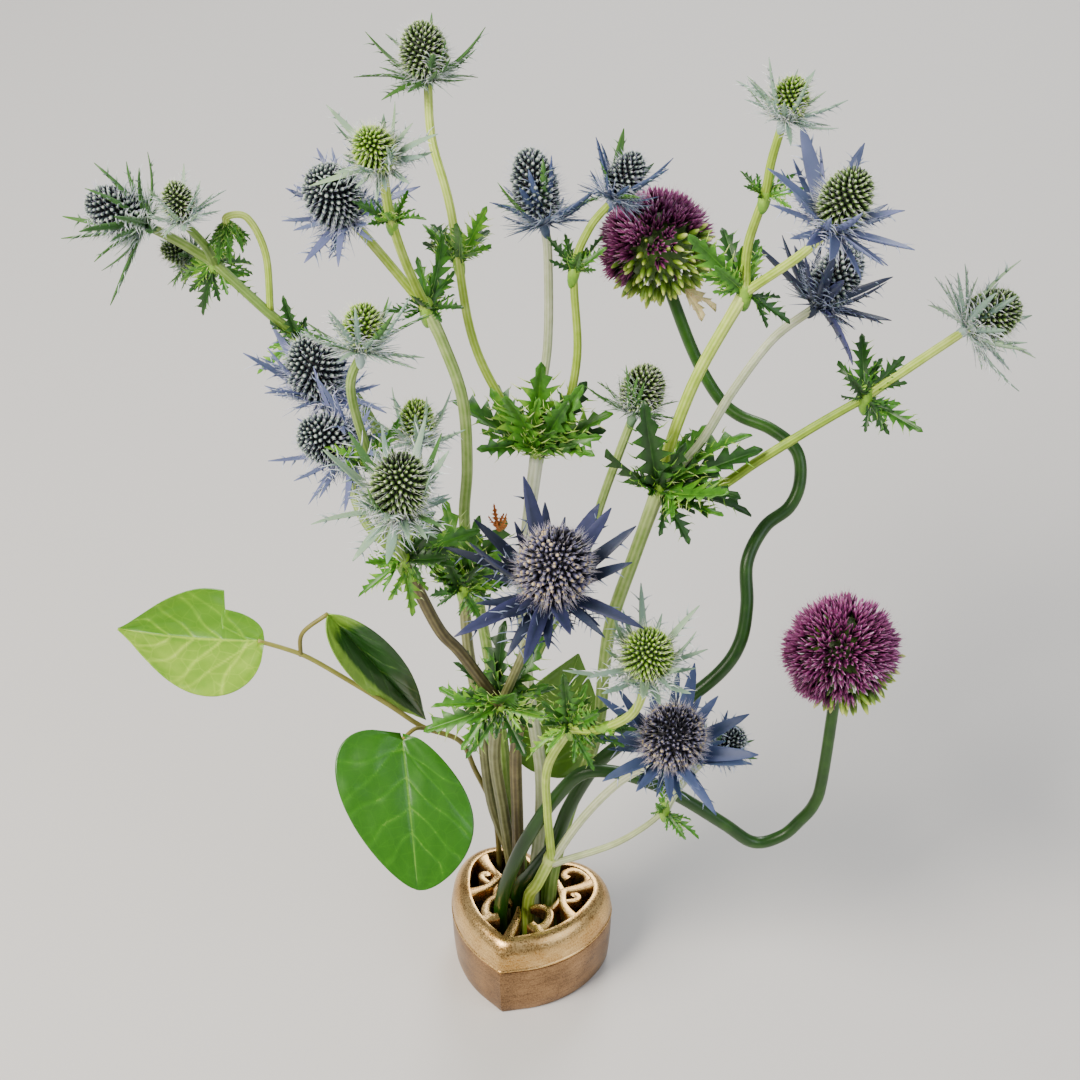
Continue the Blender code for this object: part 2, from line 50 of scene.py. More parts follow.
def hexColour(text):
    parts = [int(text[i:i + 2], 16) / 255 for i in (1, 3, 5)]
    linear = [c / 12.92 if c <= 0.04045 else ((c + 0.055) / 1.055) ** 2.4 for c in parts]
    return (*linear, 1.0)


def addNode(material, kind, values=None, links=None, **settings):
    made = material.node_tree.nodes.new(kind)
    for key, value in settings.items():
        setattr(made, key, value)
    for key, value in (values or {}).items():
        made.inputs[key].default_value = value
    for key, source in (links or {}).items():
        material.node_tree.links.new(source, made.inputs[key])
    return made


# Colours and places of a colour ramp.
def setRamp(ramp, stops):
    elements = ramp.color_ramp.elements
    while len(elements) > 1:
        elements.remove(elements[-1])
    elements[0].position = stops[0][0]
    elements[0].color = hexColour(stops[0][1])
    for place, colour in stops[1:]:
        elements.new(place).color = hexColour(colour)


def clearSelection():
    for other in bpy.context.selected_objects:
        other.select_set(False)


def pick(piece):
    clearSelection()
    piece.select_set(True)
    bpy.context.view_layer.objects.active = piece


def clamp(value, low=0.0, high=1.0):
    return max(low, min(high, value))


def outwards(angle):
    return Vector((math.cos(angle), math.sin(angle), 0))


def sized(x, y, z):
    return Matrix.Diagonal((x, y, z, 1))


def turned(degrees, axis):
    return Matrix.Rotation(math.radians(degrees), 4, axis)


def randomTurn(low, high, axis):
    return Matrix.Rotation(random.uniform(low, high), 4, axis)


def jitter(amount):
    return Vector([random.uniform(-amount, amount) for _ in range(3)])


# Takes +Y to the direction, with +Z as near the given normal as it can be.
def turnTo(direction, up):
    y = direction.normalized()
    x = y.cross(up)
    if x.length < smallestAxis:
        x = y.orthogonal()
    x.normalize()
    return Matrix((x, y, x.cross(y))).transposed().to_4x4()


# Takes +Z to the normal.
def standOn(normal):
    z = normal.normalized()
    x = z.orthogonal().normalized()
    return Matrix((x, z.cross(x), z)).transposed().to_4x4()


# The tone of each point, which the plant materials turn into colour.
def setTones(mesh, tones):
    mesh.attributes.new("tone", "FLOAT", "POINT").data.foreach_set("value", np.array(tones, np.float32))


# Merges the doubled points of the active mesh and turns its faces outwards.
def closeMesh(weld):
    bpy.ops.object.mode_set(mode="EDIT")
    bpy.ops.mesh.select_all(action="SELECT")
    bpy.ops.mesh.remove_doubles(threshold=weld * mm)
    bpy.ops.mesh.normals_make_consistent(inside=False)
    bpy.ops.object.mode_set(mode="OBJECT")


# Gives a piece its material, the body it rides on, and the CAD nodes it stands for.
def finish(piece, material, nodes=()):
    piece.data.materials.clear()
    piece.data.materials.append(material)
    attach(piece, "root")
    if nodes:
        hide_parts(*nodes)
    return piece


# Materials

# A new material, its shader, and the object coordinates that its patterns read.
def startMaterial(name):
    material = bpy.data.materials.new(name)
    material.use_nodes = True
    shader = material.node_tree.nodes["Principled BSDF"]
    return material, shader, addNode(material, "ShaderNodeTexCoord").outputs["Object"]


# Living plant tissue, with a waxy or a dull skin: the tone attribute picks the colour along the ramp,
# and noise of grain mm mottles it and raises the skin. Soft lets light soak into fresh tissue and
# come out green. A network is the pale net of small veins, whose cells are that many mm wide.
def plantMaterial(name, stops, roughness, grain, grainDepth, blotch, soft=0.0, network=0.0):
    material, shader, place = startMaterial(name)
    tone = addNode(material, "ShaderNodeAttribute", attribute_name="tone").outputs["Fac"]
    fine = addNode(material, "ShaderNodeTexNoise", {"Scale": 1 / (grain * mm), "Detail": 3.0},
                   {"Vector": place}).outputs["Fac"]
    shift = addNode(material, "ShaderNodeMath", {1: blotch, 2: -blotch / 2}, {0: fine},
                    operation="MULTIPLY_ADD").outputs[0]
    if network:
        cells = addNode(material, "ShaderNodeTexVoronoi", {"Scale": 1 / (network * mm)},
                        {"Vector": place}, feature="DISTANCE_TO_EDGE").outputs["Distance"]
        veins = addNode(material, "ShaderNodeMapRange",
                        {"From Min": 0.0, "From Max": 0.06, "To Min": 0.09, "To Max": 0.0},
                        {"Value": cells}).outputs["Result"]
        shift = addNode(material, "ShaderNodeMath", None, {0: shift, 1: veins},
                        operation="ADD").outputs[0]
    total = addNode(material, "ShaderNodeMath", None, {0: tone, 1: shift}, operation="ADD",
                    use_clamp=True).outputs[0]
    ramp = addNode(material, "ShaderNodeValToRGB", None, {"Fac": total})
    setRamp(ramp, stops)
    bump = addNode(material, "ShaderNodeBump", {"Strength": grainDepth, "Distance": 0.3 * mm},
                   {"Height": fine})
    links = material.node_tree.links
    links.new(ramp.outputs["Color"], shader.inputs["Base Color"])
    links.new(bump.outputs["Normal"], shader.inputs["Normal"])
    shader.inputs["Roughness"].default_value = roughness
    if soft:
        shader.inputs["Subsurface Weight"].default_value = soft
        shader.inputs["Subsurface Radius"].default_value = (0.4, 0.8, 0.2)
        shader.inputs["Subsurface Scale"].default_value = 0.6 * mm
    return material


# Cast brass, brushed round the form after casting: it shows short fine lines that run level, a
# sandy skin with bright and dull grains, and broad worn clouds of lighter and darker brass. The lines
# are drawn as coarse as they need to show.
def brassMaterial(name, dark, light, roughness, lineWidth, grit):
    material, shader, place = startMaterial(name)
    broad = addNode(material, "ShaderNodeTexNoise", {"Scale": 1 / (9 * mm), "Detail": 3.0},
                    {"Vector": place}).outputs["Fac"]
    sand = addNode(material, "ShaderNodeTexNoise", {"Scale": 1 / (0.45 * mm), "Detail": 2.0},
                   {"Vector": place}).outputs["Fac"]
    stretch = addNode(material, "ShaderNodeMapping", {"Scale": (0.12, 0.12, 1.0)}, {"Vector": place})
    lines = addNode(material, "ShaderNodeTexNoise", {"Scale": 1 / (lineWidth * mm), "Detail": 2.0},
                    {"Vector": stretch.outputs["Vector"]}).outputs["Fac"]
    grained = addNode(material, "ShaderNodeMath", {1: 0.5}, {0: lines, 2: sand},
                      operation="MULTIPLY_ADD").outputs[0]
    clouded = addNode(material, "ShaderNodeMath", {1: 0.9}, {0: broad, 2: grained},
                      operation="MULTIPLY_ADD").outputs[0]
    spread = addNode(material, "ShaderNodeMapRange", {"From Min": 0.85, "From Max": 1.55},
                     {"Value": clouded}).outputs["Result"]
    ramp = addNode(material, "ShaderNodeValToRGB", None, {"Fac": spread})
    setRamp(ramp, [(0.0, dark), (1.0, light)])
    rough = addNode(material, "ShaderNodeMapRange",
                    {"From Min": 0.5, "From Max": 1.0, "To Min": roughness - 0.09,
                     "To Max": roughness + 0.12}, {"Value": grained}).outputs["Result"]
    bump = addNode(material, "ShaderNodeBump", {"Strength": grit, "Distance": 0.1 * mm},
                   {"Height": grained})
    links = material.node_tree.links
    links.new(ramp.outputs["Color"], shader.inputs["Base Color"])
    links.new(rough, shader.inputs["Roughness"])
    links.new(bump.outputs["Normal"], shader.inputs["Normal"])
    shader.inputs["Metallic"].default_value = 1.0
    return material


print("materials")
lidBrass = brassMaterial("brushedBrassLid", "#a87a3c", "#f4d090", 0.3, 0.5, 0.34)
bodyBrass = brassMaterial("castBrassBody", "#5c4430", "#b48f66", 0.34, 0.7, 0.45)

# Seed cones: painted shade for the gaps between buds, then the bud's own colour, its pale tip, and last
# the bristles
conePalettes = {
    "green": [(0.0, "#141f0d"), (0.3, "#3f5c22"), (0.55, "#84a356"), (0.78, "#dbe4b8"), (1.0, "#e2e6f0")],
    "blue": [(0.0, "#0d1016"), (0.3, "#2b3640"), (0.55, "#74887c"), (0.78, "#d3d8d0"), (1.0, "#c0c6e6")],
    "lilac": [(0.0, "#17141f"), (0.25, "#4a4a66"), (0.4, "#7f7c9c"), (0.52, "#a0906e"), (0.66, "#c9ad7c"),
              (0.8, "#d8ceb2"), (1.0, "#b9b5d2")],
    "lime": [(0.0, "#2a4a0c"), (0.3, "#5f8a1c"), (0.55, "#98c034"), (0.78, "#dcec96"), (1.0, "#eaf1e0")],
}
coneMaterials = {key: plantMaterial("seaHollyCone_" + key, stops, 0.6, 0.5, 0.2, 0.1, soft=0.1)
                 for key, stops in conePalettes.items()}
# Bracts: yellow-green at the foot, then the blade's colour, its pale midrib and edges last
collarPalettes = {
    "green": [(0.0, "#b7cc5a"), (0.2, "#4f8028"), (0.6, "#3f6a34"), (0.8, "#8aa88a"), (1.0, "#dfe6ec")],
    "silver": [(0.0, "#c2d674"), (0.2, "#98b684"), (0.6, "#86a498"), (0.8, "#bccccc"), (1.0, "#f0f4f4")],
    "blue": [(0.0, "#a3b466"), (0.2, "#53608e"), (0.6, "#3d4e70"), (0.8, "#8090b0"), (1.0, "#d5dcf0")],
    "navy": [(0.0, "#7c80b2"), (0.18, "#434574"), (0.5, "#242d46"), (0.75, "#39455e"), (1.0, "#a4b0d0")],
    "violet": [(0.0, "#aebc6c"), (0.2, "#7075a0"), (0.6, "#66739a"), (0.8, "#98a4c4"), (1.0, "#e2e6f6")],
}
collarMaterials = {key: plantMaterial("seaHollyBract_" + key, stops, 0.5, 1.6, 0.15, 0.2, soft=0.1)
                   for key, stops in collarPalettes.items()}
# Whorl leaves: glossy above, dark in the blade, with yellow-green ribs and spiny edges
hollyLeafMaterial = plantMaterial(
    "seaHollyLeaf",
    [(0.0, "#0e2808"), (0.3, "#1f4c0e"), (0.55, "#4a8a1a"), (0.8, "#98c63c"), (1.0, "#dcea9c")],
    0.42, 2.0, 0.3, 0.4, soft=0.15)
driedLeafMaterial = plantMaterial(
    "seaHollyLeafDried", [(0.0, "#7a3c10"), (0.5, "#b9681c"), (1.0, "#e0a860")], 0.55, 2.0, 0.3, 0.4)
stemPalettes = {
    "lime": [(0.0, "#66881a"), (0.5, "#a2c036"), (1.0, "#dcea84")],
    "pale": [(0.0, "#8d9c6a"), (0.5, "#b9c392"), (1.0, "#e4e6cc")],
    "olive": [(0.0, "#3c3a1c"), (0.5, "#66683a"), (1.0, "#9da070")],
    "brown": [(0.0, "#2c2413"), (0.5, "#4e4526"), (1.0, "#857a4c")],
    "green": [(0.0, "#4c6e22"), (0.5, "#76963c"), (1.0, "#b0c27a")],
}
stemMaterials = {key: plantMaterial("seaHollyStem_" + key, stops, 0.5, 3.0, 0.2, 0.6, soft=0.1)
                 for key, stops in stemPalettes.items()}
alliumStemMaterial = plantMaterial(
    "alliumStem", [(0.0, "#0e2806"), (0.5, "#1e4809"), (1.0, "#4f8a1c")], 0.36, 5.0, 0.08, 0.4, soft=0.1)
alliumFloretMaterial = plantMaterial(
    "alliumFloret",
    [(0.0, "#1e0518"), (0.35, "#4c0d3a"), (0.65, "#7c2464"), (0.85, "#ac5494"), (1.0, "#e6bcda")],
    0.55, 0.8, 0.1, 0.2, soft=0.15)
alliumBudMaterial = plantMaterial(
    "alliumBud", [(0.0, "#2f5010"), (0.4, "#6f9420"), (0.75, "#c3d45c"), (1.0, "#e4e29a")],
    0.5, 0.8, 0.1, 0.2, soft=0.15)
spatheMaterial = plantMaterial(
    "alliumSpathe", [(0.0, "#a08a58"), (0.5, "#c9b884"), (1.0, "#ece2c4")], 0.6, 1.2, 0.3, 0.4, soft=0.2)
vineStemMaterial = plantMaterial(
    "vineStem", [(0.0, "#3a2c12"), (0.5, "#7a7430"), (1.0, "#a8a850")], 0.5, 4.0, 0.2, 0.5)
vineLeafPalettes = {
    "light": [(0.0, "#3f7a10"), (0.4, "#6ea21c"), (0.7, "#a8cc3c"), (1.0, "#d2e47c")],
    "dark": [(0.0, "#123a06"), (0.5, "#1f540c"), (1.0, "#8cb83c")],
    "fresh": [(0.0, "#1c5004"), (0.5, "#357806"), (1.0, "#90bc4a")],
    "back": [(0.0, "#46701a"), (0.5, "#5c8626"), (1.0, "#9cb85c")],
}
vineLeafMaterials = {key: plantMaterial("vineLeaf_" + key, stops, 0.34, 3.0, 0.15, 0.2, soft=0.15,
                                        network=4.2)
                     for key, stops in vineLeafPalettes.items()}


# Templates: each is modelled once and copied

# Reads the active object as a template and removes it. toneOf gives each point's tone.
def takeTemplate(toneOf):
    piece = bpy.context.object
    for modifier in list(piece.modifiers):
        bpy.ops.object.modifier_apply(modifier=modifier.name)
    mesh = piece.data
    template = {"points": np.array([v.co for v in mesh.vertices]),
                "faces": [tuple(p.vertices) for p in mesh.polygons],
                "tones": np.array([toneOf(v.co) for v in mesh.vertices])}
    bpy.data.objects.remove(piece)
    return template


# Several templates set together as one. Each copy is (template, matrix, change of tone).
def joinTemplates(copies):
    points, tones, faces = [], [], []
    offset = 0
    for template, matrix, change in copies:
        placed = np.array(matrix)
        points.append(template["points"] @ placed[:3, :3].T + placed[:3, 3])
        tones.append(np.clip(template["tones"] + change, 0, 1))
        faces.extend([tuple(i + offset for i in face) for face in template["faces"]])
        offset += len(template["points"])
    return {"points": np.concatenate(points), "faces": faces, "tones": np.concatenate(tones)}


# One smooth piece from many copies.
def scatter(name, copies):
    joined = joinTemplates(copies)
    mesh = bpy.data.meshes.new(name)
    mesh.from_pydata((joined["points"] * mm).tolist(), [], joined["faces"])
    setTones(mesh, joined["tones"])
    mesh.shade_smooth()
    piece = bpy.data.objects.new(name, mesh)
    bpy.context.scene.collection.objects.link(piece)
    return piece


# A ball of unit radius, whose points are then moved to shape it.
def addBall(segments, rings):
    clearSelection()
    bpy.ops.mesh.primitive_uv_sphere_add(segments=segments, ring_count=rings, radius=1)
    return bpy.context.object.data.vertices


# A cone one unit tall that stands on the origin, cut across its middle so that it can bend.
def addSpike(corners, foot, tip):
    clearSelection()
    bpy.ops.mesh.primitive_cone_add(vertices=corners, radius1=foot, radius2=tip, depth=1,
                                    location=(0, 0, 0.5))
    bpy.ops.object.transform_apply(location=True)
    bpy.ops.object.mode_set(mode="EDIT")
    bpy.ops.mesh.select_all(action="SELECT")
    bpy.ops.mesh.bisect(plane_co=(0, 0, 0.5), plane_no=(0, 0, 1))
    bpy.ops.object.mode_set(mode="OBJECT")
    return bpy.context.object.data.vertices


# One packed flower bud of the cone: dark at its foot with painted shade, where its neighbours crowd it,
# and pale at its tip.
def makeBud(pointed):
    radius, height = 0.39, 1.3
    for vert in addBall(6, 5):
        up = (vert.co.z + 1) / 2
        pinch = 1 - pointed * up ** 2
        vert.co = (vert.co.x * radius * pinch, vert.co.y * radius * pinch, up * height)
    # the tone falls to the painted shade of the gaps at the foot
    return takeTemplate(lambda co: 0.82 * clamp(co.z / height) ** 3 + 0.05)


# A fine bristle, three-sided, bent a little. Its tone runs from low at its foot to high.
def makeSpine(radius, bend, low, high):
    for vert in addSpike(3, radius, radius * 0.12):
        vert.co.y += bend * vert.co.z ** 2
    return takeTemplate(lambda co: low + (high - low) * co.z)


# A leaf or bract of unit length along +Y, its upper face to +Z: folded along its midrib, widest at
# peak, with pointed side lobes that lean forwards, each with a needle at its tip. Rows of the grid
# take turns at lobe and gap, and lobes fade out at the foot and the tip.
def makeBlade(width, rows, columns, lobe, peak, curl, fold, wave, thick, seed):
    random.seed(seed)
    clearSelection()
    bpy.ops.mesh.primitive_grid_add(x_subdivisions=columns, y_subdivisions=rows, size=2)
    piece = bpy.context.object
    tips = []
    lean = [random.uniform(0.5, 1.3) for _ in range(2 * rows + 2)]
    power = math.log(0.5) / math.log(peak)
    for vert in piece.data.vertices:
        u, v = (vert.co.y + 1) / 2, vert.co.x
        row, outer = round(u * rows), abs(v) > 0.9
        half = width / 2 * (0.12 + 0.88 * math.sin(math.pi * u ** power) ** 0.8) if row < rows else 0.003
        along = u
        fade = clamp((1 - u) * 2.4)
        if lobe and 0 < row < rows:
            size = lean[row * 2 + (v > 0)] * fade * clamp(u * 6)
            if row % 2 and outer:
                half += lobe * size * width / 2
                along += 1.5 / rows * size
            elif abs(v) > 0.4:
                half *= 1 - 0.45 * fade
        v = math.copysign(abs(v) ** 2.4, v)  # the rows crowd towards the midrib
        up = abs(v) * half * fold + curl * u * u
        up += wave * math.sin(u * 9 + (2 if v > 0 else 0)) * abs(v)
        vert.co = (v * half, along, up)
        if lobe and outer and row % 2 and row < rows - 2:
            tips.append(vert.co.copy())
    piece.modifiers.new("thickness", "SOLIDIFY").thickness = thick

    def tone(co):
        rib = clamp(1 - abs(co.x) / (width * 0.05)) * (1 - 0.4 * co.y)
        edge = clamp((abs(co.x) - width * 0.46) / (width * 0.4))
        foot = clamp(1 - co.y / 0.13)
        return clamp(max(0.3 + 0.14 * co.y, 0.68 * rib, 0.3 + 0.36 * edge, 0.76 * foot))

    copies = [(takeTemplate(tone), Matrix.Identity(4), 0.0)]
    for tip in tips:
        turn = turned(-math.copysign(random.uniform(35, 60), tip.x), "Z") @ turned(-80, "X")
        copies.append((needle, Matrix.Translation(tip * 0.97) @ turn
                       @ sized(0.5, 0.5, random.uniform(0.06, 0.11)), 0.0))
    return joinTemplates(copies)


# A bract with pairs of spines at its sides, like a fishbone, the longest near its foot.
def makeSpinyBract(width, curl, seed, pairs, longest):
    blade = makeBlade(width, 8, 2, 0.0, 0.42, curl, 0.7, 0.0, 0.008, seed)
    copies = [(blade, Matrix.Identity(4), 0.0)]
    for i in range(pairs):
        u = 0.14 + 0.66 * i / (pairs - 1)
        for side in (-1, 1):
            reach = longest * random.uniform(0.6, 1.1) * (1.15 - 0.6 * u)
            turn = turned(-side * random.uniform(34, 60), "Z") @ turned(random.uniform(5, 30), "X")
            root = (side * width * 0.3, u + random.uniform(-0.02, 0.02), curl * u * u + 0.01)
            copies.append((needle, Matrix.Translation(root) @ turn @ turned(-90, "X")
                           @ sized(0.85, 0.85, reach), 0.0))
    return joinTemplates(copies)


# A whorl leaf: one long lobed blade with a shorter one at each side.
def makeHollyLeaf(curl, seed):
    middle = makeBlade(0.17, 14, 4, 0.8, 0.4, curl, 0.6, 0.012, 0.01, seed)
    side = makeBlade(0.19, 10, 4, 0.8, 0.42, curl * 0.6, 0.6, 0.015, 0.012, seed + 50)
    copies = [(middle, Matrix.Identity(4), 0.0)]
    for sign in (-1, 1):
        turn = turned(-sign * random.uniform(24, 40), "Z") @ turned(sign * random.uniform(-15, 25), "Y")
        size = random.uniform(0.45, 0.66)
        root = Matrix.Translation((0, random.uniform(0.06, 0.26), 0))
        copies.append((side, root @ turn @ Matrix.Scale(size, 4), 0.0))
    return joinTemplates(copies)


print("templates")
roundBud = makeBud(0.5)
openBud = makeBud(0.15)
bristle = makeSpine(0.035, 0.14, 0.86, 1.0)
needle = makeSpine(0.02, 0.1, 0.7, 1.0)
thinBracts = [makeSpinyBract(0.11, curl, 20 + i, 6, 0.26)
              for i, curl in enumerate((-0.1, 0.08, 0.25, 0.4))]
wideBracts = [makeSpinyBract(0.16, curl, 30 + i, 5, 0.2)
              for i, curl in enumerate((-0.08, 0.08, 0.2, 0.3))]
lanceBracts = [makeSpinyBract(0.17, curl, 40 + i, 4, 0.11)
               for i, curl in enumerate((-0.1, 0.06, 0.16, 0.28))]
hollyLeaves = [makeHollyLeaf(curl, 60 + i) for i, curl in enumerate((-0.3, -0.12, 0.05, 0.22))]


# Stems

# A closed section that stems and scrolls are swept from, 1 mm for each unit.
def makeProfile(name, corners):
    curve = bpy.data.curves.new(name, "CURVE")
    curve.dimensions = "2D"
    line = curve.splines.new("POLY")
    line.points.add(len(corners) - 1)
    for point, (x, y) in zip(line.points, corners):
        point.co = (x * mm, y * mm, 0, 1)
    line.use_cyclic_u = True
    profile = bpy.data.objects.new(name, curve)
    bpy.context.scene.collection.objects.link(profile)
    return profile


# A circle of unit radius, with shallow ridges.
def ringCorners(count, ridges, depth):
    corners = []
    for i in range(count):
        angle = math.tau * i / count
        radius = 1 + depth * math.cos(ridges * angle)
        corners.append((radius * math.cos(angle), radius * math.sin(angle)))
    return corners


ridgedProfile = makeProfile("ridgedProfile", ringCorners(32, 8, 0.07))
roundProfile = makeProfile("roundProfile", ringCorners(16, 0, 0.0))


# A smooth curve through the route's points (Catmull-Rom).
def smoothRoute(points, parts=8):
    points = [Vector(p) for p in points]
    if len(points) < 3:
        return [points[0].lerp(points[-1], i / parts) for i in range(parts + 1)]
    ends = [points[0] * 2 - points[1]] + points + [points[-1] * 2 - points[-2]]
    path = [points[0]]
    for a, b, c, d in zip(ends, ends[1:], ends[2:], ends[3:]):
        for i in range(1, parts + 1):
            t = i / parts
            path.append(0.5 * (2 * b + (c - a) * t + (2 * a - 5 * b + 4 * c - d) * t ** 2
                               + (3 * b - a - 3 * c + d) * t ** 3))
    return path


# The profile swept along a path, its width changing, as one closed mesh.
def sweep(name, path, widths, profile, twist, weld):
    curve = bpy.data.curves.new(name, "CURVE")
    curve.dimensions = "3D"
    curve.twist_mode = twist
    curve.bevel_mode = "OBJECT"
    curve.bevel_object = profile
    curve.use_fill_caps = True
    line = curve.splines.new("POLY")
    line.points.add(len(path) - 1)
    for point, place, width in zip(line.points, path, widths):
        point.co = (*(place * mm), 1.0)
        point.radius = width
    piece = bpy.data.objects.new(name, curve)
    bpy.context.scene.collection.objects.link(piece)
    pick(piece)
    bpy.ops.object.convert(target="MESH")
    closeMesh(weld)
    return bpy.context.object


# A stem swept along its route, narrowing to endRadius and swelling by flare at its ends. Its tone
# runs from toneStart to toneEnd, and is darker in the grooves of a ridged stem.
def stemPiece(name, route, radius, material, nodes=(), endRadius=None, profile=None,
              flare=0.0, toneStart=0.35, toneEnd=0.6):
    path = smoothRoute(route)
    endRadius = endRadius or radius
    widths = []
    for i in range(len(path)):
        part = i / (len(path) - 1)
        swell = flare * (max(0, 1 - part * 12) + max(0, part * 12 - 11))
        widths.append((radius + (endRadius - radius) * part) * (1 + swell))
    piece = sweep(name, path, widths, profile or ridgedProfile, "MINIMUM", 0.01)
    piece.data.shade_smooth()
    low, spine = path[0] * mm, (path[-1] - path[0]) * mm
    middle = np.array([tuple(place * mm) for place in path])
    ridgeTone = 0.0 if profile else 2.4  # how much lighter a ridge is for each radius it stands out
    tones = []
    for vert in piece.data.vertices:
        part = clamp((vert.co - low).dot(spine) / spine.length_squared)
        away = np.sqrt(((middle - np.array(vert.co)) ** 2).sum(axis=1)).min() / (mm * radius)
        tones.append(toneStart + (toneEnd - toneStart) * part + ridgeTone * (away - 0.95))
    setTones(piece.data, tones)
    return finish(piece, material, nodes)


# Knuckles where leaf whorls grow
knots = {
    "low": (-6, -12, 116), "left": (-30, -22, 175), "middle_left": (-16, 8, 140),
    "high_left": (-25, 36, 213), "middle": (4, 38, 164), "right": (37, 22, 164),
    "high_right": (58, 30, 222), "far_right": (92, 30, 189), "front": (13, -20, 115),
    "far_left": (-79, 30, 231), "front_right": (40, -14, 78),
}
footZ = 3.3  # the cut ends stand on the cup's floor

stems = {
    "stem_low_left": {"route": [(-3.0, 9.6, footZ), (-3.6, 10.2, 30), (-6, 4, 61), (-8, -4, 91),
                                knots["low"]], "radius": 1.7, "colour": "olive"},
    "stem_low_right": {"route": [(-1, 5.6, footZ), (-1.4, 6.7, 30), (-1.8, 2.5, 61), (-2, -5, 91),
                                 (-1, -11, 109)], "radius": 1.7, "colour": "brown"},
    "stem_back_left": {"route": [(-4.6, 13, footZ), (-4.2, 14.2, 30), (-9.5, 8, 61), (-12, 5, 95),
                                 (-15, 5, 122), knots["middle_left"]], "radius": 1.5, "colour": "olive"},
    "stem_high_left": {"route": [(-1, 12.6, footZ), (-0.7, 13.5, 30), (-4.5, 14.5, 55), (-6, 16, 77),
                                 (-9, 19, 100), (-13, 22, 129), (-16, 25, 150), (-15, 28, 168),
                                 (-16, 31, 188), (-21, 34, 204), knots["high_left"]],
                       "radius": 1.5, "colour": "green"},
    "stem_middle": {"route": [(3, 3, footZ), (3, 4, 30), (5, 8, 53), (5, 12, 70), (3, 15, 85),
                              (1, 18, 102), (0, 22, 125), (1, 28, 142), knots["middle"]],
                    "radius": 1.7, "colour": "pale"},
    "stem_right": {"route": [(8.4, 1.9, footZ), (8.2, 3.3, 30), (13, 8, 54), (19, 11, 74), (22, 12, 90),
                             (23, 13, 108), (25, 15, 124), (31, 18, 145), knots["right"]],
                   "radius": 1.8, "colour": "green"},
    "stem_front": {"route": [(1.2, -2, footZ), (1.4, -0.9, 28), (4.2, -4.4, 39), (8.2, -4, 49.5)],
                   "radius": 1.7, "colour": "lime", "flare": 0.35},
    "stem_front_fork": {"route": [(8.3, -4.3, 48.6), (7, -8, 72), (7, -13, 94), knots["front"]],
                        "radius": 1.2, "colour": "lime"},
    "stem_low_branch": {"route": [(8.6, -5.0, 47.6), (25, -7, 57), (34, -10, 67), knots["front_right"]],
                        "radius": 1.0, "endRadius": 0.8, "colour": "pale"},
    "branch_left": {"route": [knots["low"], (-16, -17, 139), (-22, -19, 150), knots["left"]],
                    "radius": 1.5, "colour": "brown"},
    "branch_far_left": {"route": [knots["middle_left"], (-25, 14, 159), (-33, 17, 174), (-43, 20, 195),
                                  (-55, 21, 211), (-65, 22, 221), knots["far_left"]],
                        "radius": 1.5, "endRadius": 1.2, "colour": "green"},
    "branch_high_right": {"route": [knots["right"], (39, 23, 175), (43, 25, 189), (48, 27, 202),
                                    knots["high_right"]], "radius": 1.5, "colour": "lime"},
    "branch_far_right": {"route": [knots["right"], (51, 25.5, 161), (65, 28, 170), (80, 29, 181),
                                   knots["far_right"]], "radius": 1.4, "endRadius": 1.1, "colour": "lime"},
}

print("stems")
for name, stem in stems.items():
    stemPiece(name + "_visual", stem["route"], stem["radius"], stemMaterials[stem["colour"]], [name],
              stem.get("endRadius"), flare=stem.get("flare", 0.12))


# Leaf whorls

# Each leaf is the way from the knuckle to its tip
whorls = {
    "low": {"leaves": [(-19, -4, -4), (13, -7, 2), (-7, -9, -10), (-9, 7, 10), (14, 7, -1), (4, -10, 14),
                       (-14, -5, 8), (6, -11, -7), (-2, 4, 20), (9, 2, 17)], "size": 1.15},
    "left": {"leaves": [(-10, -3, -9), (12, -6, 4), (13, 7, -3), (3, -9, -9), (-9, -8, 3), (9, -3, 12),
                        (16, 2, 8)], "size": 1.2},
    "middle_left": {"leaves": [(9, -4, 13), (-9, 3, -3), (-4, -6, 14), (8, 6, 2), (2, -2, 20), (12, 0, 5),
                               (-10, -3, 8), (5, -9, -2), (10, 4, 20), (-3, 4, 22)], "size": 1.35},
    "high_left": {"leaves": [(6, 9, 15), (-11, -2, 0), (8, -7, 6), (-3, -8, 8), (2, 9, 6)], "size": 1.0},
    "middle": {"leaves": [(-5, -3, 24), (17, 0, 14), (-19, 2, 17), (12, 9, 16), (5, -7, 17), (-11, -3, 20),
                          (10, -4, 22), (0, 6, 26), (-3, -9, 12)], "size": 1.2},
    "right": {"leaves": [(17, -14, 5), (-4, -10, 25), (8, -10, -8), (13, 15, 8), (-8, 8, 2), (22, -4, 2),
                         (24, 2, 12), (-9, -6, 8), (14, -10, -4), (18, 8, 16)], "size": 1.15},
    "high_right": {"leaves": [(-13, 3, 16), (-5, 12, 11), (11, -4, -5), (-8, -4, 10), (4, 9, 6)],
                   "size": 1.0},
    "far_right": {"leaves": [(-1, 11, 12), (13, -7, -6), (-4, -7, 8), (5, -8, -5), (9, 5, 9)],
                  "size": 1.0},
    "front": {"leaves": [(-2, -3, 21), (13, -4, -3), (-12, -3, -4), (9, -6, 12), (14, -5, 5), (6, -8, -6),
                         (-6, -6, 8), (3, -4, 16)], "size": 0.9},
    "far_left": {"leaves": [(-4, -4, -12), (8, 10, -5), (-11, 3, -6), (10, -4, -9), (4, 6, 6)],
                 "size": 0.9},
    "front_right": {"leaves": [(9, -5, -4), (0, 9, 1), (-3, -5, 8), (5, -7, -4)], "size": 0.8},
}

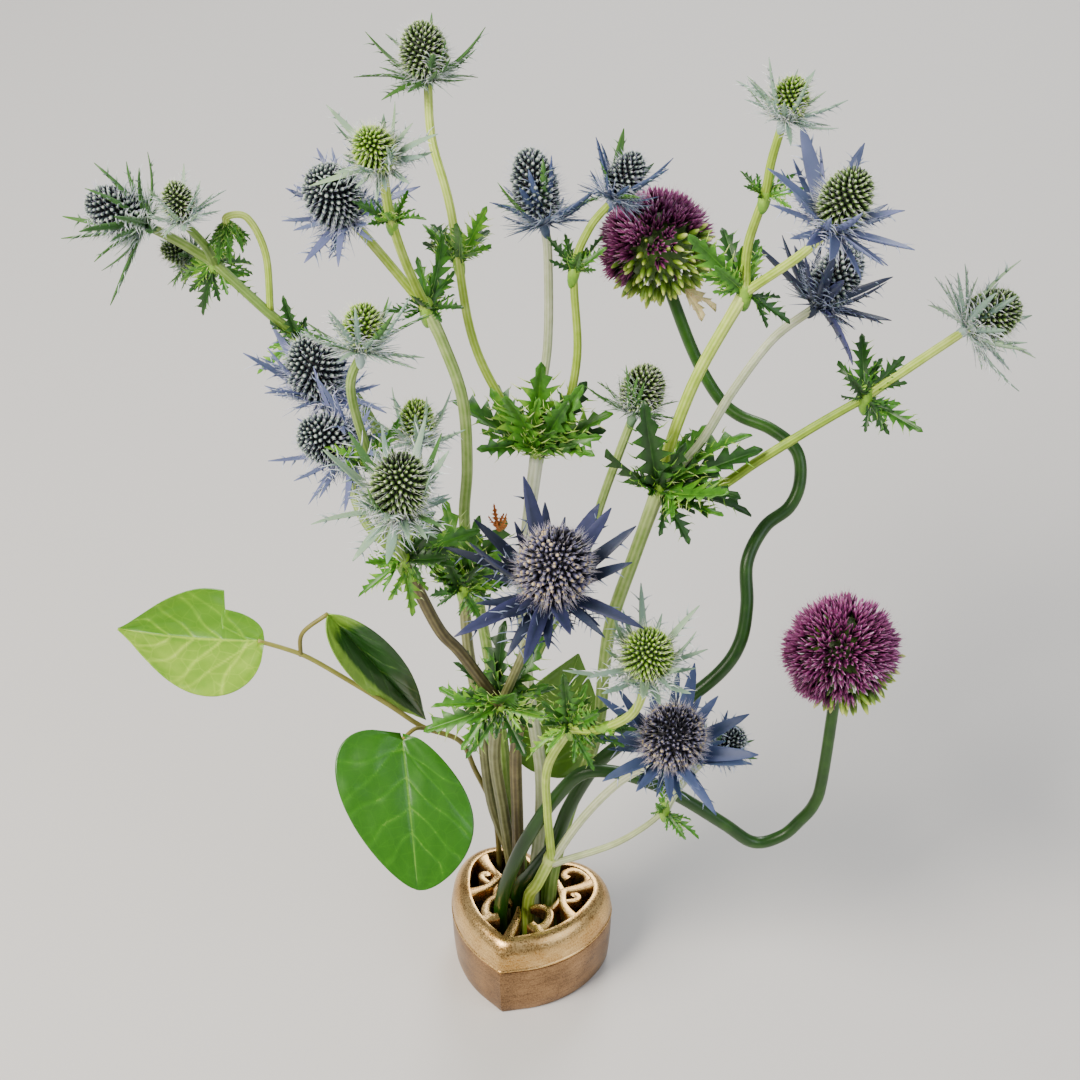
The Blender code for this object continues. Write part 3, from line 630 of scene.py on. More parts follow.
# Small whorls on the stalks: where, which way the stalk runs, how long and how many the leaves are,
# and how far they open from it
stalkWhorls = {
    "flower_01": {"place": (-17, 54, 216), "along": (-0.15, 0.45, 0.9),
                  "reach": 17, "leaves": 6, "open": 0.75},
    "flower_02": {"place": (-32.5, 26.5, 245), "along": (0, -0.2, 1),
                  "reach": 11, "leaves": 5, "open": 0.8},
    "flower_08": {"place": (14, 50, 216), "along": (0.2, 0.3, 0.9),
                  "reach": 12, "leaves": 5, "open": 0.9},
    "flower_09": {"place": (61, 25, 253), "along": (0.1, 0, 1),
                  "reach": 10, "leaves": 4, "open": 0.9},
    "flower_15": {"place": (-37, -16.5, 200), "along": (-0.2, 0, 1),
                  "reach": 13, "leaves": 6, "open": 0.9},
    "branch_far_left": {"place": (-57, 21, 213), "along": (-0.8, 0.1, 0.6),
                        "reach": 13, "leaves": 3, "open": 1.1},
    "flower_20": {"place": (23, -27, 122), "along": (0.8, -0.4, 0.6),
                  "reach": 6, "leaves": 3, "open": 0.9},
}


# The leaves of a whorl. A steep leaf turns its upper face to the front, and the others turn it up.
def whorlCopies(centre, tips, size):
    copies = []
    for tip in tips:
        tip = Vector(tip)
        length = tip.length * 1.12
        up = Vector((0, -0.35, 1)) if abs(tip.normalized().z) < 0.7 else Vector((0, -1, 0.3))
        up.rotate(Matrix.Rotation(random.uniform(-0.6, 0.6), 3, tip.normalized()))
        wide = length * size * random.uniform(0.85, 1.2)
        matrix = Matrix.Translation(centre) @ turnTo(tip, up) @ sized(wide, length, length)
        copies.append((random.choice(hollyLeaves), matrix, random.uniform(-0.2, 0.2)))
    return copies


# The sheath where leaves join a stem: a small swollen collar.
def knuckleCopy(centre, along, radius):
    along = Vector(along).normalized()
    matrix = Matrix.Translation(Vector(centre) - along * radius * 0.4) @ standOn(along)
    return sheath, matrix @ sized(radius * 0.88, radius * 0.88, radius * 2.1), random.uniform(-0.05, 0.05)


print("leaf whorls")
for vert in addBall(14, 9):
    vert.co.x *= 1 + 0.12 * vert.co.z
    vert.co.y *= 1 + 0.12 * vert.co.z
sheath = takeTemplate(lambda co: 0.72 + 0.1 * co.z)

for word, whorl in whorls.items():
    random.seed("whorl" + word)
    centre = Vector(knots[word])
    copies = whorlCopies(centre, whorl["leaves"], whorl["size"])
    copies.append(knuckleCopy(centre, (0, 0, 1), 2.3 if whorl["size"] > 0.9 else 1.8))
    finish(scatter(f"leaf_whorl_{word}_visual", copies), hollyLeafMaterial, [f"leaf_whorl_{word}"])

for word, whorl in stalkWhorls.items():
    random.seed("stalkWhorl" + word)
    centre, along = Vector(whorl["place"]), Vector(whorl["along"]).normalized()
    side = along.orthogonal().normalized()
    tips = []
    for i in range(whorl["leaves"]):
        angle = math.tau * (i + random.uniform(-0.2, 0.2)) / whorl["leaves"]
        out = Matrix.Rotation(angle, 3, along) @ side
        tips.append((out * whorl["open"] + along * random.uniform(0.5, 1.1)).normalized()
                    * whorl["reach"] * random.uniform(0.7, 1.05))
    copies = whorlCopies(centre, tips, 0.95)
    copies.append(knuckleCopy(centre, along, 1.9))
    finish(scatter(f"stalk_whorl_{word}", copies), hollyLeafMaterial, ())

# One dried, curled leaf tip among the fresh ones
random.seed("dried")
copies = whorlCopies(Vector((-6, -4, 170)), [(-1, -1, 8), (2, -2, 5)], 0.7)
finish(scatter("dried_leaf_tip", copies), driedLeafMaterial, ())


# Sea holly flowers

# Each cone runs from base to tip, and reach is the length of its longest bracts. Rise is how far the
# bracts lift, and shade the side of the cone that is darker.
flowers = {
    "01": {"base": (-25, 78, 258), "tip": (-27, 81, 274), "width": 12.5, "cone": "green",
           "collar": "green", "reach": 18,
           "stalk": [knots["middle"], (-6, 41, 181), (-14, 46, 200), (-19, 60, 229), (-24, 70, 245)]},
    "02": {"base": (-34, 22, 264), "tip": (-37, 14, 277), "width": 10, "cone": "lime", "collar": "silver",
           "reach": 17, "stalk": [knots["high_left"], (-30, 30, 232), (-33, 25, 249)]},
    "03": {"base": (-45, 38, 240), "tip": (-51, 31, 257), "width": 14, "cone": "blue", "collar": "violet",
           "reach": 20, "stalk": [knots["high_left"], (-34, 38, 225), (-41, 38, 235)]},
    "04": {"base": (-95, 30, 242), "tip": (-110, 31, 250), "width": 11.5, "cone": "blue",
           "collar": "green", "reach": 21, "stalk": [knots["far_left"], (-87, 30, 237)]},
    "05": {"base": (-84, 20, 249), "tip": (-86, 21, 260), "width": 7.5, "cone": "green",
           "collar": "silver", "reach": 13, "stalk": [knots["far_left"], (-80, 25, 239)]},
    "06": {"base": (-86, 42, 225), "tip": (-94, 40, 230), "width": 6, "cone": "green", "collar": "green",
           "reach": 11, "stalk": [knots["far_left"], (-82, 36, 226)]},
    "07": {"base": (6, 62, 223), "tip": (1, 71, 242), "width": 12, "cone": "blue", "collar": "blue",
           "reach": 19, "bract": "wide", "rise": 1.8,
           "stalk": [knots["middle"], (4.5, 44.5, 175), (7, 51, 193), (7, 60, 215)]},
    "08": {"base": (24, 58, 233), "tip": (31, 63, 245), "width": 9, "cone": "blue", "collar": "blue",
           "reach": 17, "bract": "wide", "rise": 1.8,
           "stalk": [knots["middle"], (11, 41, 173), (15, 46, 192), (14, 50, 216), (18, 54, 227)]},
    "09": {"base": (64, 22, 276), "tip": (67, 24, 287), "width": 8.5, "cone": "lime", "collar": "silver",
           "reach": 16, "stalk": [knots["high_right"], (58, 29, 237), (61, 25, 254), (62, 24, 264)]},
    "10": {"base": (77, 20, 247), "tip": (84, 19, 264), "width": 12.5, "cone": "green",
           "collar": "violet", "reach": 24, "bract": "wide", "shade": (0.4, 0.4, 0.6),
           "stalk": [knots["high_right"], (71, 24, 237)]},
    "11": {"base": (79, 48, 206), "tip": (90, 54, 221), "width": 12, "cone": "blue", "collar": "navy",
           "reach": 25, "bract": "lance",
           "stalk": [knots["right"], (48, 29, 174), (57, 37, 186), (68, 45, 198)]},
    "12": {"base": (118, 38, 205), "tip": (132, 40, 214), "width": 13, "cone": "green",
           "collar": "silver", "reach": 21, "stalk": [knots["far_right"], (106, 34, 198)]},
    "13": {"base": (30, 30, 183), "tip": (35, 37, 195), "width": 11.5, "cone": "green", "collar": "green",
           "reach": 14, "stalk": [(3.5, 19.5, 106), (8, 21, 116), (14, 22, 128), (22, 26, 158)]},
    "14": {"base": (-51, 8, 204), "tip": (-54, 9, 222), "width": 14, "cone": "blue", "collar": "violet",
           "reach": 22, "stalk": [knots["left"], (-38, -11, 183), (-46, 1, 194)]},
    "15": {"base": (-38, -20, 236), "tip": (-37, -14, 247), "width": 9.5, "cone": "lime",
           "collar": "silver", "reach": 17,
           "stalk": [knots["left"], (-34, -17, 190), (-38, -16, 204), (-41, -20, 226)]},
    "16": {"base": (-43, -6, 199), "tip": (-55, -12, 208), "width": 12.5, "cone": "blue",
           "collar": "violet", "reach": 20, "stalk": [knots["left"], (-39, -19, 184), (-43, -12, 192)]},
    "17": {"base": (-26, -12, 203), "tip": (-26, -5, 213), "width": 8.5, "cone": "lime",
           "collar": "silver", "reach": 14, "stalk": [knots["left"], (-25.5, -16, 189)]},
    "18": {"base": (-30, -34, 199), "tip": (-28, -38, 218), "width": 14, "cone": "green",
           "collar": "silver", "reach": 22, "bracts": 12, "shade": (0.2, 0.5, 0.8),
           "stalk": [knots["left"], (-31, -30, 188)]},
    "19": {"base": (7, -30, 171), "tip": (10, -37, 193), "width": 17.5, "cone": "lilac", "collar": "navy",
           "reach": 27, "bract": "lance", "bracts": 15, "rise": 0.8, "shade": (0.6, 0, 0.8),
           "stalk": [knots["low"], (1, -20, 143), (5, -26, 160)]},
    "20": {"base": (32, -38, 151), "tip": (32, -42, 166), "width": 13, "cone": "lime", "collar": "silver",
           "reach": 20, "stalk": [knots["front"], (20, -25, 119), (28, -31, 129), (31, -36, 140)]},
    "21": {"base": (40, -18, 104), "tip": (42, -24, 122), "width": 17, "cone": "lilac", "collar": "blue",
           "reach": 24, "bract": "lance", "bracts": 15, "rise": 0.8, "shade": (-0.3, 0, 0.9),
           "stalk": [(8.6, -4.0, 48.5), (17, -7, 68), (26, -12, 86), (35, -16, 98)]},
    "22": {"base": (54, -3, 90), "tip": (62, -3, 98), "width": 9, "cone": "blue", "collar": "blue",
           "reach": 12, "stalk": [knots["front_right"], (44, -9, 82), (49, -5, 86)]},
}
stalkColours = {"01": "lime", "02": "lime", "03": "lime", "07": "pale", "08": "lime", "09": "lime",
                "10": "lime", "11": "pale", "12": "lime", "19": "olive", "20": "lime", "21": "pale",
                "22": "pale"}  # the others are green
greenBracts = ("01", "04", "07", "08", "13", "15", "18", "22")  # collars with some green bracts

# Cones of closed buds, and cones whose small flowers are open: buds for each mm of the cone's width,
# how far apart they stand, and how their tones vary
cones = {
    "closed": {"buds": 20, "spacing": 1.14, "tones": (-0.12, 0.08)},
    "open": {"buds": 27, "spacing": 1.2, "tones": (-0.38, 0.1)},
    "fewest": 140, "most": 480, "inset": 0.95, "bristleWidth": 2.6,
}
collar = {"bracts": 13, "rise": 1.3, "fringe": 90, "fringeReach": 0.45, "fringeLongest": 8.5,
          "fringeWidth": 8, "kinds": {"thin": thinBracts, "wide": wideBracts, "lance": lanceBracts}}


# Radius and height on the cone's ovoid, for part 0 at its foot to 1 at its tip, with the slope.
def conePoint(part, width, length):
    angle = math.pi * (1 - part)
    radius = width / 2 * math.sin(angle) * (1.06 - 0.12 * part)
    height = length / 2 * (1 + math.cos(angle))
    normal = Vector((math.sin(angle) / (width / 2), math.cos(angle) / (length / 2)))
    return radius, height, normal.normalized()


# The cone: a core painted dark as the shade in the gaps between buds, with buds packed on it in a spiral
# and bristles between them.
def coneCopies(flower, length, local):
    width = flower["width"]
    opened = flower["cone"] == "lilac"
    coloured = opened or flower["cone"] == "blue"
    form = cones["open" if opened else "closed"]
    count = round(clamp(width * form["buds"], cones["fewest"], cones["most"]))
    spacing = math.sqrt(math.pi * width * length * 0.92 / count) * form["spacing"]
    inner = spacing * cones["inset"]
    core = Matrix.Translation((0, 0, length / 2))
    core = core @ sized(width / 2 - inner, width / 2 - inner, length / 2 - inner)
    copies = [(coreBall, local @ core, 0.0)]
    shade = Vector(flower.get("shade", (0, 0, 0)))
    for i in range(count):
        part = math.acos(1 - 2 * (0.05 + 0.95 * (i + 0.5) / count)) / math.pi
        radius, height, slope = conePoint(part, width, length)
        out = outwards(i * goldenAngle)
        normal = (out * slope.x + Vector((0, 0, slope.y))).normalized()
        place = out * (radius - inner * slope.x) + Vector((0, 0, height - inner * slope.y))
        size = spacing * (1.0 - 0.25 * part ** 3) * random.uniform(0.9, 1.1)
        lean = (normal + Vector((0, 0, 0.25))).normalized()
        if opened:
            lean = (lean + jitter(0.3)).normalized()
        matrix = local @ Matrix.Translation(place) @ standOn(lean) @ randomTurn(0, 6, "Z")
        shadow = 0.45 * clamp(normal.dot(shade) * 2 - 0.9) if shade.length else 0.0
        tall = random.uniform(0.8, 1.3) if opened else 1.0
        bud = openBud if coloured and random.random() < 0.4 else roundBud
        copies.append((bud, matrix @ sized(size, size, size * tall),
                       random.uniform(*form["tones"]) - shadow))
        for _ in range(3 if part < 0.55 else 2 if part < 0.8 else 1):
            tilt = randomTurn(0.05, 0.45, "X")
            spin = randomTurn(0, math.tau, "Z")
            high = size * random.uniform(1.8, 2.7) * (1.25 - 0.3 * part)
            copies.append((bristle, matrix @ spin @ Matrix.Translation((0, 0.4 * size, 0)) @ tilt
                           @ sized(cones["bristleWidth"], cones["bristleWidth"], high),
                           random.uniform(-0.1, 0.05)))
    return copies


# The collar: long bracts, short ones between them, and a fringe of spines all round. Every third
# long bract goes to the green ones where the collar has some.
def collarCopies(flower, local, mixed):
    copies, greenCopies = [], []
    reach, width = flower["reach"], flower["width"]
    number = flower.get("bracts", collar["bracts"])
    kinds = collar["kinds"][flower.get("bract", "thin")]
    up = Vector((0, 0, 1))
    for i in range(number):
        out = outwards(math.tau * (i + random.uniform(-0.3, 0.3)) / number)
        lift = random.uniform(-0.1, 1.0) * flower.get("rise", collar["rise"])
        size = reach * random.uniform(0.7, 1.08)
        wide = size * random.uniform(0.75, 1.1)
        matrix = local @ Matrix.Translation(out * width * 0.1 + up * 0.6) @ turnTo(out + up * lift, up)
        matrix = matrix @ randomTurn(-0.5, 0.5, "Y")
        chosen = greenCopies if mixed and i % 3 == 0 else copies
        chosen.append((random.choice(kinds), matrix @ sized(wide, size, size),
                       random.uniform(-0.12, 0.12)))
    for i in range(number):
        out = outwards(math.tau * (i + 0.5 + random.uniform(-0.3, 0.3)) / number)
        size = reach * random.uniform(0.42, 0.78)
        turn = turnTo(out + up * random.uniform(-0.3, 0.7), up)
        matrix = local @ Matrix.Translation(out * width * 0.12 + up * 0.5) @ turn
        copies.append((random.choice(thinBracts), matrix @ sized(size * 1.3, size, size),
                       random.uniform(-0.05, 0.15)))
    for i in range(collar["fringe"]):
        out = outwards(i * goldenAngle + random.uniform(-0.2, 0.2))
        direction = (out + up * random.uniform(-0.35, 0.9)).normalized()
        size = min(reach * collar["fringeReach"], collar["fringeLongest"]) * random.uniform(0.6, 1.15)
        matrix = local @ Matrix.Translation(out * width * 0.2 + up * random.uniform(0.2, 1.4))
        matrix = matrix @ standOn(direction) @ randomTurn(0, math.tau, "Z")
        copies.append((bristle, matrix @ sized(collar["fringeWidth"], collar["fringeWidth"], size),
                       random.uniform(-0.3, 0.05)))
    return copies, greenCopies


def makeFlower(word, flower):
    random.seed("flower" + word)
    base, tip = Vector(flower["base"]), Vector(flower["tip"])
    axis, width = (tip - base).normalized(), flower["width"]
    local = Matrix.Translation(base) @ standOn(axis)
    finish(scatter(f"flower_{word}_cone", coneCopies(flower, (tip - base).length, local)),
           coneMaterials[flower["cone"]], [f"flower_{word}"])
    copies, greenCopies = collarCopies(flower, local, word in greenBracts)
    copies.append(knuckleCopy(base + axis * 0.6, axis, 1.7 if width > 8 else 1.2))
    finish(scatter(f"flower_{word}_collar", copies), collarMaterials[flower["collar"]], ())
    if greenCopies:
        finish(scatter(f"flower_{word}_green_bracts", greenCopies), collarMaterials["green"], ())
    route = list(flower["stalk"]) + [tuple(base), tuple(base + axis * 2)]
    stemPiece(f"flower_{word}_stalk", route, 1.2, stemMaterials[stalkColours.get(word, "green")],
              endRadius=min(1.15, width * 0.11), flare=0.15, toneEnd=0.75)


print("sea holly flowers")
# On the cones, the core takes the darkest colour of the ramp: painted shade that shows in the gaps between
# buds.
addBall(16, 10)
coreBall = takeTemplate(lambda co: 0.02)
for word, flower in flowers.items():
    makeFlower(word, flower)


# Nodding bud

print("nodding bud")
nodding = {"place": (-74, 26, 246), "leaves": 9, "open": 0.7, "reach": (8, 12),
           "stalk": [(-64.5, 22.5, 221), (-65, 26, 236), (-69, 27, 246), (-74, 26, 247), (-74, 26, 244)]}
random.seed("bud")
copies = []
for i in range(nodding["leaves"]):
    out = outwards(i * goldenAngle) * nodding["open"]
    size = random.uniform(*nodding["reach"])
    matrix = Matrix.Translation(nodding["place"]) @ turnTo(out + Vector((0, 0, -1)), out)
    copies.append((random.choice(hollyLeaves[:2]), matrix @ sized(size * 0.9, size, size),
                   random.uniform(-0.1, 0.1)))
finish(scatter("nodding_bud_visual", copies), hollyLeafMaterial, ["nodding_bud"])
stemPiece("nodding_bud_stalk", nodding["stalk"], 0.9, stemMaterials["lime"])


# Drumstick alliums

# A small flower of six narrow petals that stand half open, every other one wider open, with three
# stamens between them.
def makeFloret():
    for vert in addSpike(4, 0.12, 0.02):
        swell = 2.1 if 0.2 < vert.co.z < 0.8 else 1.0
        vert.co = (vert.co.x * swell, vert.co.y * 0.5, vert.co.z)
    petal = takeTemplate(lambda co: 0.2 + 0.72 * co.z)
    copies = []
    for i in range(6):
        turn = turned(60 * i, "Z") @ Matrix.Translation((0, 0.14, 0))
        copies.append((petal, turn @ turned(-16 - 6 * (i % 2), "X"), 0.0))
    for i in range(3):
        turn = Matrix.Rotation(math.tau * i / 3 + 0.3, 4, "Z") @ turned(-9, "X")
        copies.append((needle, turn @ sized(1.0, 1.0, 1.35), 0.0))
    return joinTemplates(copies)


# Buds is the side where the flowers are still closed, openShare how far round the open ones reach,
# mixed how ragged the line between them is, and bare the width of the gap there
alliums = {
    "low": {"centre": (89, 8, 118), "axis": (0.05, 0.05, 1), "radius": 17, "buds": (0.45, -0.35, -0.8),
            "florets": 330, "openShare": 0.6, "bare": 0.0, "mixed": 0.14,
            "route": [(-6.4, -3.6, 3.7), (-6.8, -3.2, 28), (-2, -5.2, 50), (4.5, -4.5, 65),
                      (10, -3.5, 74), (15, -3.5, 81), (20, -3.5, 83.5), (28, -4, 83), (37, -4, 79),
                      (46, -4, 73), (58, -4, 63), (67, -4, 55.5), (75, -3, 57), (80, -2, 62),
                      (84, -1, 68), (86, 1, 77)]},
    "high": {"centre": (37, 74, 210), "axis": (-0.25, 0.12, 0.95), "radius": 16.5,
             "buds": (0.4, -0.7, -0.55), "florets": 340, "openShare": 0.34, "bare": 0.03, "mixed": 0.34,
             "route": [(-1.6, 2.0, 3.7), (-1.6, 2.2, 28), (2.8, 0.3, 39), (9, 1, 50), (13, 3, 62),
                       (20, 4, 77), (28, 5, 86), (42, 7, 97), (55, 10, 108), (61, 14, 116),
                       (63, 20, 125), (63, 27, 135), (68, 34, 142), (75, 38, 146), (78, 42, 152),
                       (77, 47, 159), (70, 52, 163), (61, 56, 165), (55, 60, 169), (48, 66, 180)]},
}


# A round head: open purple florets, with tight green buds towards one side, each on its own stalk.
def makeAllium(word, allium):
    random.seed("allium" + word)
    centre, axis = Vector(allium["centre"]), Vector(allium["axis"]).normalized()
    towardBuds = Vector(allium["buds"]).normalized()
    radius = allium["radius"]
    florets = allium["florets"]
    middle = Matrix.Translation(centre)
    purple, green = [], [(coreBall, middle @ Matrix.Scale(radius * 0.6, 4), 0.05)]
    for i in range(florets):
        z = 1 - 2 * (i + 0.5) / florets
        out = outwards(i * goldenAngle) * math.sqrt(1 - z * z) + Vector((0, 0, z))
        out = (out + jitter(0.07)).normalized()
        towards = out.dot(towardBuds) + random.uniform(-1, 1) * allium["mixed"]
        bare = 0 <= towards - allium["openShare"] < allium["bare"]
        lean = (out + jitter(0.22)).normalized()
        turn = standOn(lean) @ randomTurn(0, math.tau, "Z")
        if towards < allium["openShare"]:
            size = random.uniform(3.6, 5.0)
            place = Matrix.Translation(centre + out * (radius - size) * random.uniform(0.9, 1.04))
            purple.append((floret, place @ turn @ sized(size * 0.9, size * 0.9, size),
                           random.uniform(-0.22, 0.1)))
        elif not bare:
            size = random.uniform(2.2, 3.4)
            place = Matrix.Translation(centre + out * radius * 0.76 * random.uniform(0.93, 1.06))
            green.append((roundBud, place @ turn @ sized(size * 0.8, size * 0.8, size * 1.25),
                          random.uniform(-0.05, 0.35)))
        stalk = Matrix.Translation(centre + out * radius * 0.3) @ standOn(out)
        green.append((bristle, stalk @ sized(8, 8, radius * 0.5), -0.75))
    finish(scatter(f"allium_head_{word}_florets", purple), alliumFloretMaterial,
           [f"allium_head_{word}"])
    finish(scatter(f"allium_head_{word}_buds", green), alliumBudMaterial, ())
    foot = centre - axis * radius * 0.5
    stemPiece(f"allium_stem_{word}_visual", allium["route"] + [tuple(foot)], 2.1, alliumStemMaterial,
              [f"allium_stem_{word}"], endRadius=1.7, profile=roundProfile)


print("alliums")
floret = makeFloret()
for word, allium in alliums.items():
    makeAllium(word, allium)
# The papery spathe that once wrapped the high head
random.seed("spathe")
spathe = {"place": (45, 65, 201), "tips": [(9, -4, -2), (5, -8, -3)]}
papers = [makeBlade(0.4, 8, 4, 0.1, 0.45, curl, 0.3, 0.05, 0.012, 90) for curl in (-0.25, 0.15)]
copies = []
for tip in spathe["tips"]:
    matrix = Matrix.Translation(spathe["place"]) @ turnTo(Vector(tip), Vector((0, 0, 1)))
    copies.append((random.choice(papers), matrix @ Matrix.Scale(Vector(tip).length, 4), 0.1))
finish(scatter("allium_spathe", copies), spatheMaterial, ())


# Vine

vine = {
    "main": [(-8, 17.6, footZ), (-7.6, 17.2, 28), (-9, 12, 53), (-14, 7, 74), (-18, 2, 90), (-28, -2, 99),
             (-37, -4, 109), (-49, -6, 121), (-58, -7, 129), (-64, -8, 133), (-71, -9, 136.6)],
    "toFolded": [(-60, -7.3, 130), (-59, -7.5, 138), (-52, -6, 143.6)],
    "toLow": [(-27, -1.5, 98), (-30, -5, 101), (-33.4, -8.6, 100.4)],
    "toBack": [(5.6, 4.6, footZ), (6, 6.2, 30), (6, 13, 48), (6, 17, 62)],
}
# Side runs from the midrib to the edge at the widest. Cup is how far the middle stands proud, and
# fold the angle that each half rises by. Full and point shape the outline, slope narrows one side
# towards the foot, notch lets both sides reach back past it, and bite is how far from the foot one
# side is cut back. Halves makes the two sides differ in tone, and rim lightens one edge.
plainLeaf = {"slope": 0.0, "halves": 0.0, "rim": 0.0, "notch": 0.0, "bite": 0.0}
vineLeaves = {
    "end": {"base": (-71, -9, 136.6), "tip": (-107, -14, 145), "side": (0, 15, 6.5), "cup": 2, "fold": 10,
            "full": 0.62, "point": 0.5, "halves": 0.2, "notch": 0.05, "bite": 0.26, "colour": "light"},
    "folded": {"base": (-52, -6, 143.6), "tip": (-28, 11, 90), "side": (8, 5, 3), "cup": 3, "fold": 45,
               "full": 0.7, "point": 0.4, "rim": 0.6, "colour": "dark"},
    "low": {"base": (-33.4, -8.6, 100.4), "tip": (-29, -36, 69), "side": (20, -1, -4), "cup": 2,
            "fold": 6, "full": 0.52, "point": 0.1, "slope": 0.5, "notch": 0.04, "colour": "fresh"},
    "back": {"base": (6, 17, 62), "tip": (16, 27, 101), "side": (13, 0, -5), "cup": 2, "fold": 5,
             "full": 0.7, "point": 0.3, "colour": "back"},
}
leafThickness = 0.35
# The side veins: where each leaves the midrib, and how far it runs forwards before the edge
sideVeins = ((0.0, 0.62), (0.05, 0.3), (0.26, 0.42), (0.44, 0.42), (0.62, 0.38))


# Half the width of the leaf, as a share of its widest, along its midrib.
def leafWidth(u, full, point):
    return math.sin(math.pi * u ** 0.62) ** (full + point * u * u) if 0 < u < 1 else 0.0


# How near a point is to a vein: 1 on it, 0 away from it.
def veinAt(u, v):
    near = clamp(1 - abs(v) / 0.035)
    for start, rise in sideVeins:
        along = start + abs(v) * rise - v * v * 0.1 + 0.012 * math.sin(9 * v + 20 * start)
        near = max(near, (0.8 - 0.4 * abs(v)) * clamp(1 - abs(u - along) / 0.02))
    return near


# A vine leaf from a fine grid: its outline, cup, fold, ripples and sunken veins, made into a sheet
# with a thickness.
def makeVineLeaf(word, leaf):
    leaf = {**plainLeaf, **leaf}
    clearSelection()
    bpy.ops.mesh.primitive_grid_add(x_subdivisions=110, y_subdivisions=64, size=2)
    piece = bpy.context.object
    piece.name = f"vine_leaf_{word}_visual"
    base, tip, side = Vector(leaf["base"]), Vector(leaf["tip"]), Vector(leaf["side"])
    spine = tip - base
    normal = spine.cross(side).normalized()
    fold = math.radians(leaf["fold"])
    tones = []
    for vert in piece.data.vertices:
        u, v = (vert.co.x + 1) / 2, vert.co.y
        wide = 0.02 + 0.98 * leafWidth(u, leaf["full"], leaf["point"])
        if v > 0 and u < leaf["bite"]:
            wide *= 0.6
        if v > 0:
            wide *= 1 - leaf["slope"] * (1 - u) ** 3
        vein = veinAt(u, v)
        ripple = 0.5 * noise.noise(Vector((u * 5, v * 3, len(word)))) * wide
        up = math.sin(fold) * abs(v) * wide * side.length + ripple
        up += math.sin(math.pi * u) * leaf["cup"] * (1 - v * v) - 0.18 * vein
        along = u - leaf["notch"] * abs(v) ** 1.5 * (1 - u) ** 6
        vert.co = (base + spine * along + side * math.cos(fold) * v * wide + normal * up) * mm
        rim = leaf["rim"] * max(clamp((-v - 0.5) * 7), clamp(1.6 - u * 11))
        half = leaf["halves"] * (clamp(-v * 12) - 0.5 * clamp(v * 12))
        mottle = 0.12 * noise.noise(Vector((u * 4, v * 4, 2)))
        tones.append(clamp(0.3 + half + rim + 0.42 * vein + mottle))
    setTones(piece.data, tones)
    solid = piece.modifiers.new("thickness", "SOLIDIFY")
    solid.thickness = leafThickness * mm
    solid.offset = 0
    bpy.ops.object.modifier_apply(modifier="thickness")
    piece.data.shade_smooth()
    finish(piece, vineLeafMaterials[leaf["colour"]], [f"vine_leaf_{word}"])


print("vine")
stemPiece("vine_stem_main", vine["main"], 0.85, vineStemMaterial, ["vine_stem"], endRadius=0.6,
          profile=roundProfile, toneStart=0.1, toneEnd=0.8)
for word in ("toFolded", "toLow"):
    stemPiece(f"vine_stalk_{word}", vine[word], 0.6, vineStemMaterial, profile=roundProfile)
stemPiece("vine_stalk_back_visual", vine["toBack"], 0.8, stemMaterials["green"], ["vine_stalk_back"],
          profile=roundProfile)
for word, leaf in vineLeaves.items():
    makeVineLeaf(word, leaf)


# Vase

vase = {"turn": -18.0, "lobeX": 9.8, "lobeY": 7.9, "lobeR": 15.3, "sideR": 34.0, "sideStart": -8.0,
        "cleftR": 0.6, "bodyH": 18.0, "height": 28.0, "wall": 1.6, "floor": 3.0, "inset": 6.2, "rimH": 2.6,
        "gap": 0.3, "lipD": 1.0, "lipWall": 1.1, "pointWide": 6.0, "pointKeen": 0.28}
vaseTurn = Matrix.Rotation(math.radians(vase["turn"]), 3, "Z")


# The heart's outline, moved inwards by inset: cleft arc, lobe and side, then mirrored. The front
# corner is drawn out to a keen point, or rounded off by soft.
def heart(inset, soft=0.0, fine=5):
    lobeX, lobeY, lobeR, sideR = vase["lobeX"], vase["lobeY"], vase["lobeR"], vase["sideR"]
    cleftY = lobeY + math.sqrt(lobeR ** 2 - lobeX ** 2)
    start = math.atan2(cleftY - lobeY, -lobeX)
    leave = math.radians(vase["sideStart"])
    sideX = lobeX - (sideR - lobeR) * math.cos(leave)
    sideY = lobeY - (sideR - lobeR) * math.sin(leave)
    lastAngle = -math.acos(-sideX / (sideR - inset))

    def arc(x, y, radius, first, last, count):
        return [(x + radius * math.cos(first + (last - first) * i / count),
                 y + radius * math.sin(first + (last - first) * i / count)) for i in range(count + 1)]

    half = arc(0, cleftY, inset, -math.pi / 2, math.atan2(lobeY - cleftY, lobeX), fine)
    half += arc(lobeX, lobeY, lobeR - inset, start, leave, 8 * fine)[1:]
    half += arc(sideX, sideY, sideR - inset, leave, lastAngle, 9 * fine)[1:]
    wide, keen = vase["pointWide"], vase["pointKeen"]
    shaped = []
    for x, y in half:
        if y < 0:
            y -= keen * max(0.0, wide - x) ** 2 / (2 * wide)
            if x < soft:
                y += (keen + 0.3) * (soft - x) ** 2 / (2 * soft)
        shaped.append((x, y))
    return shaped + [(-x, y) for x, y in reversed(shaped[1:-1])]


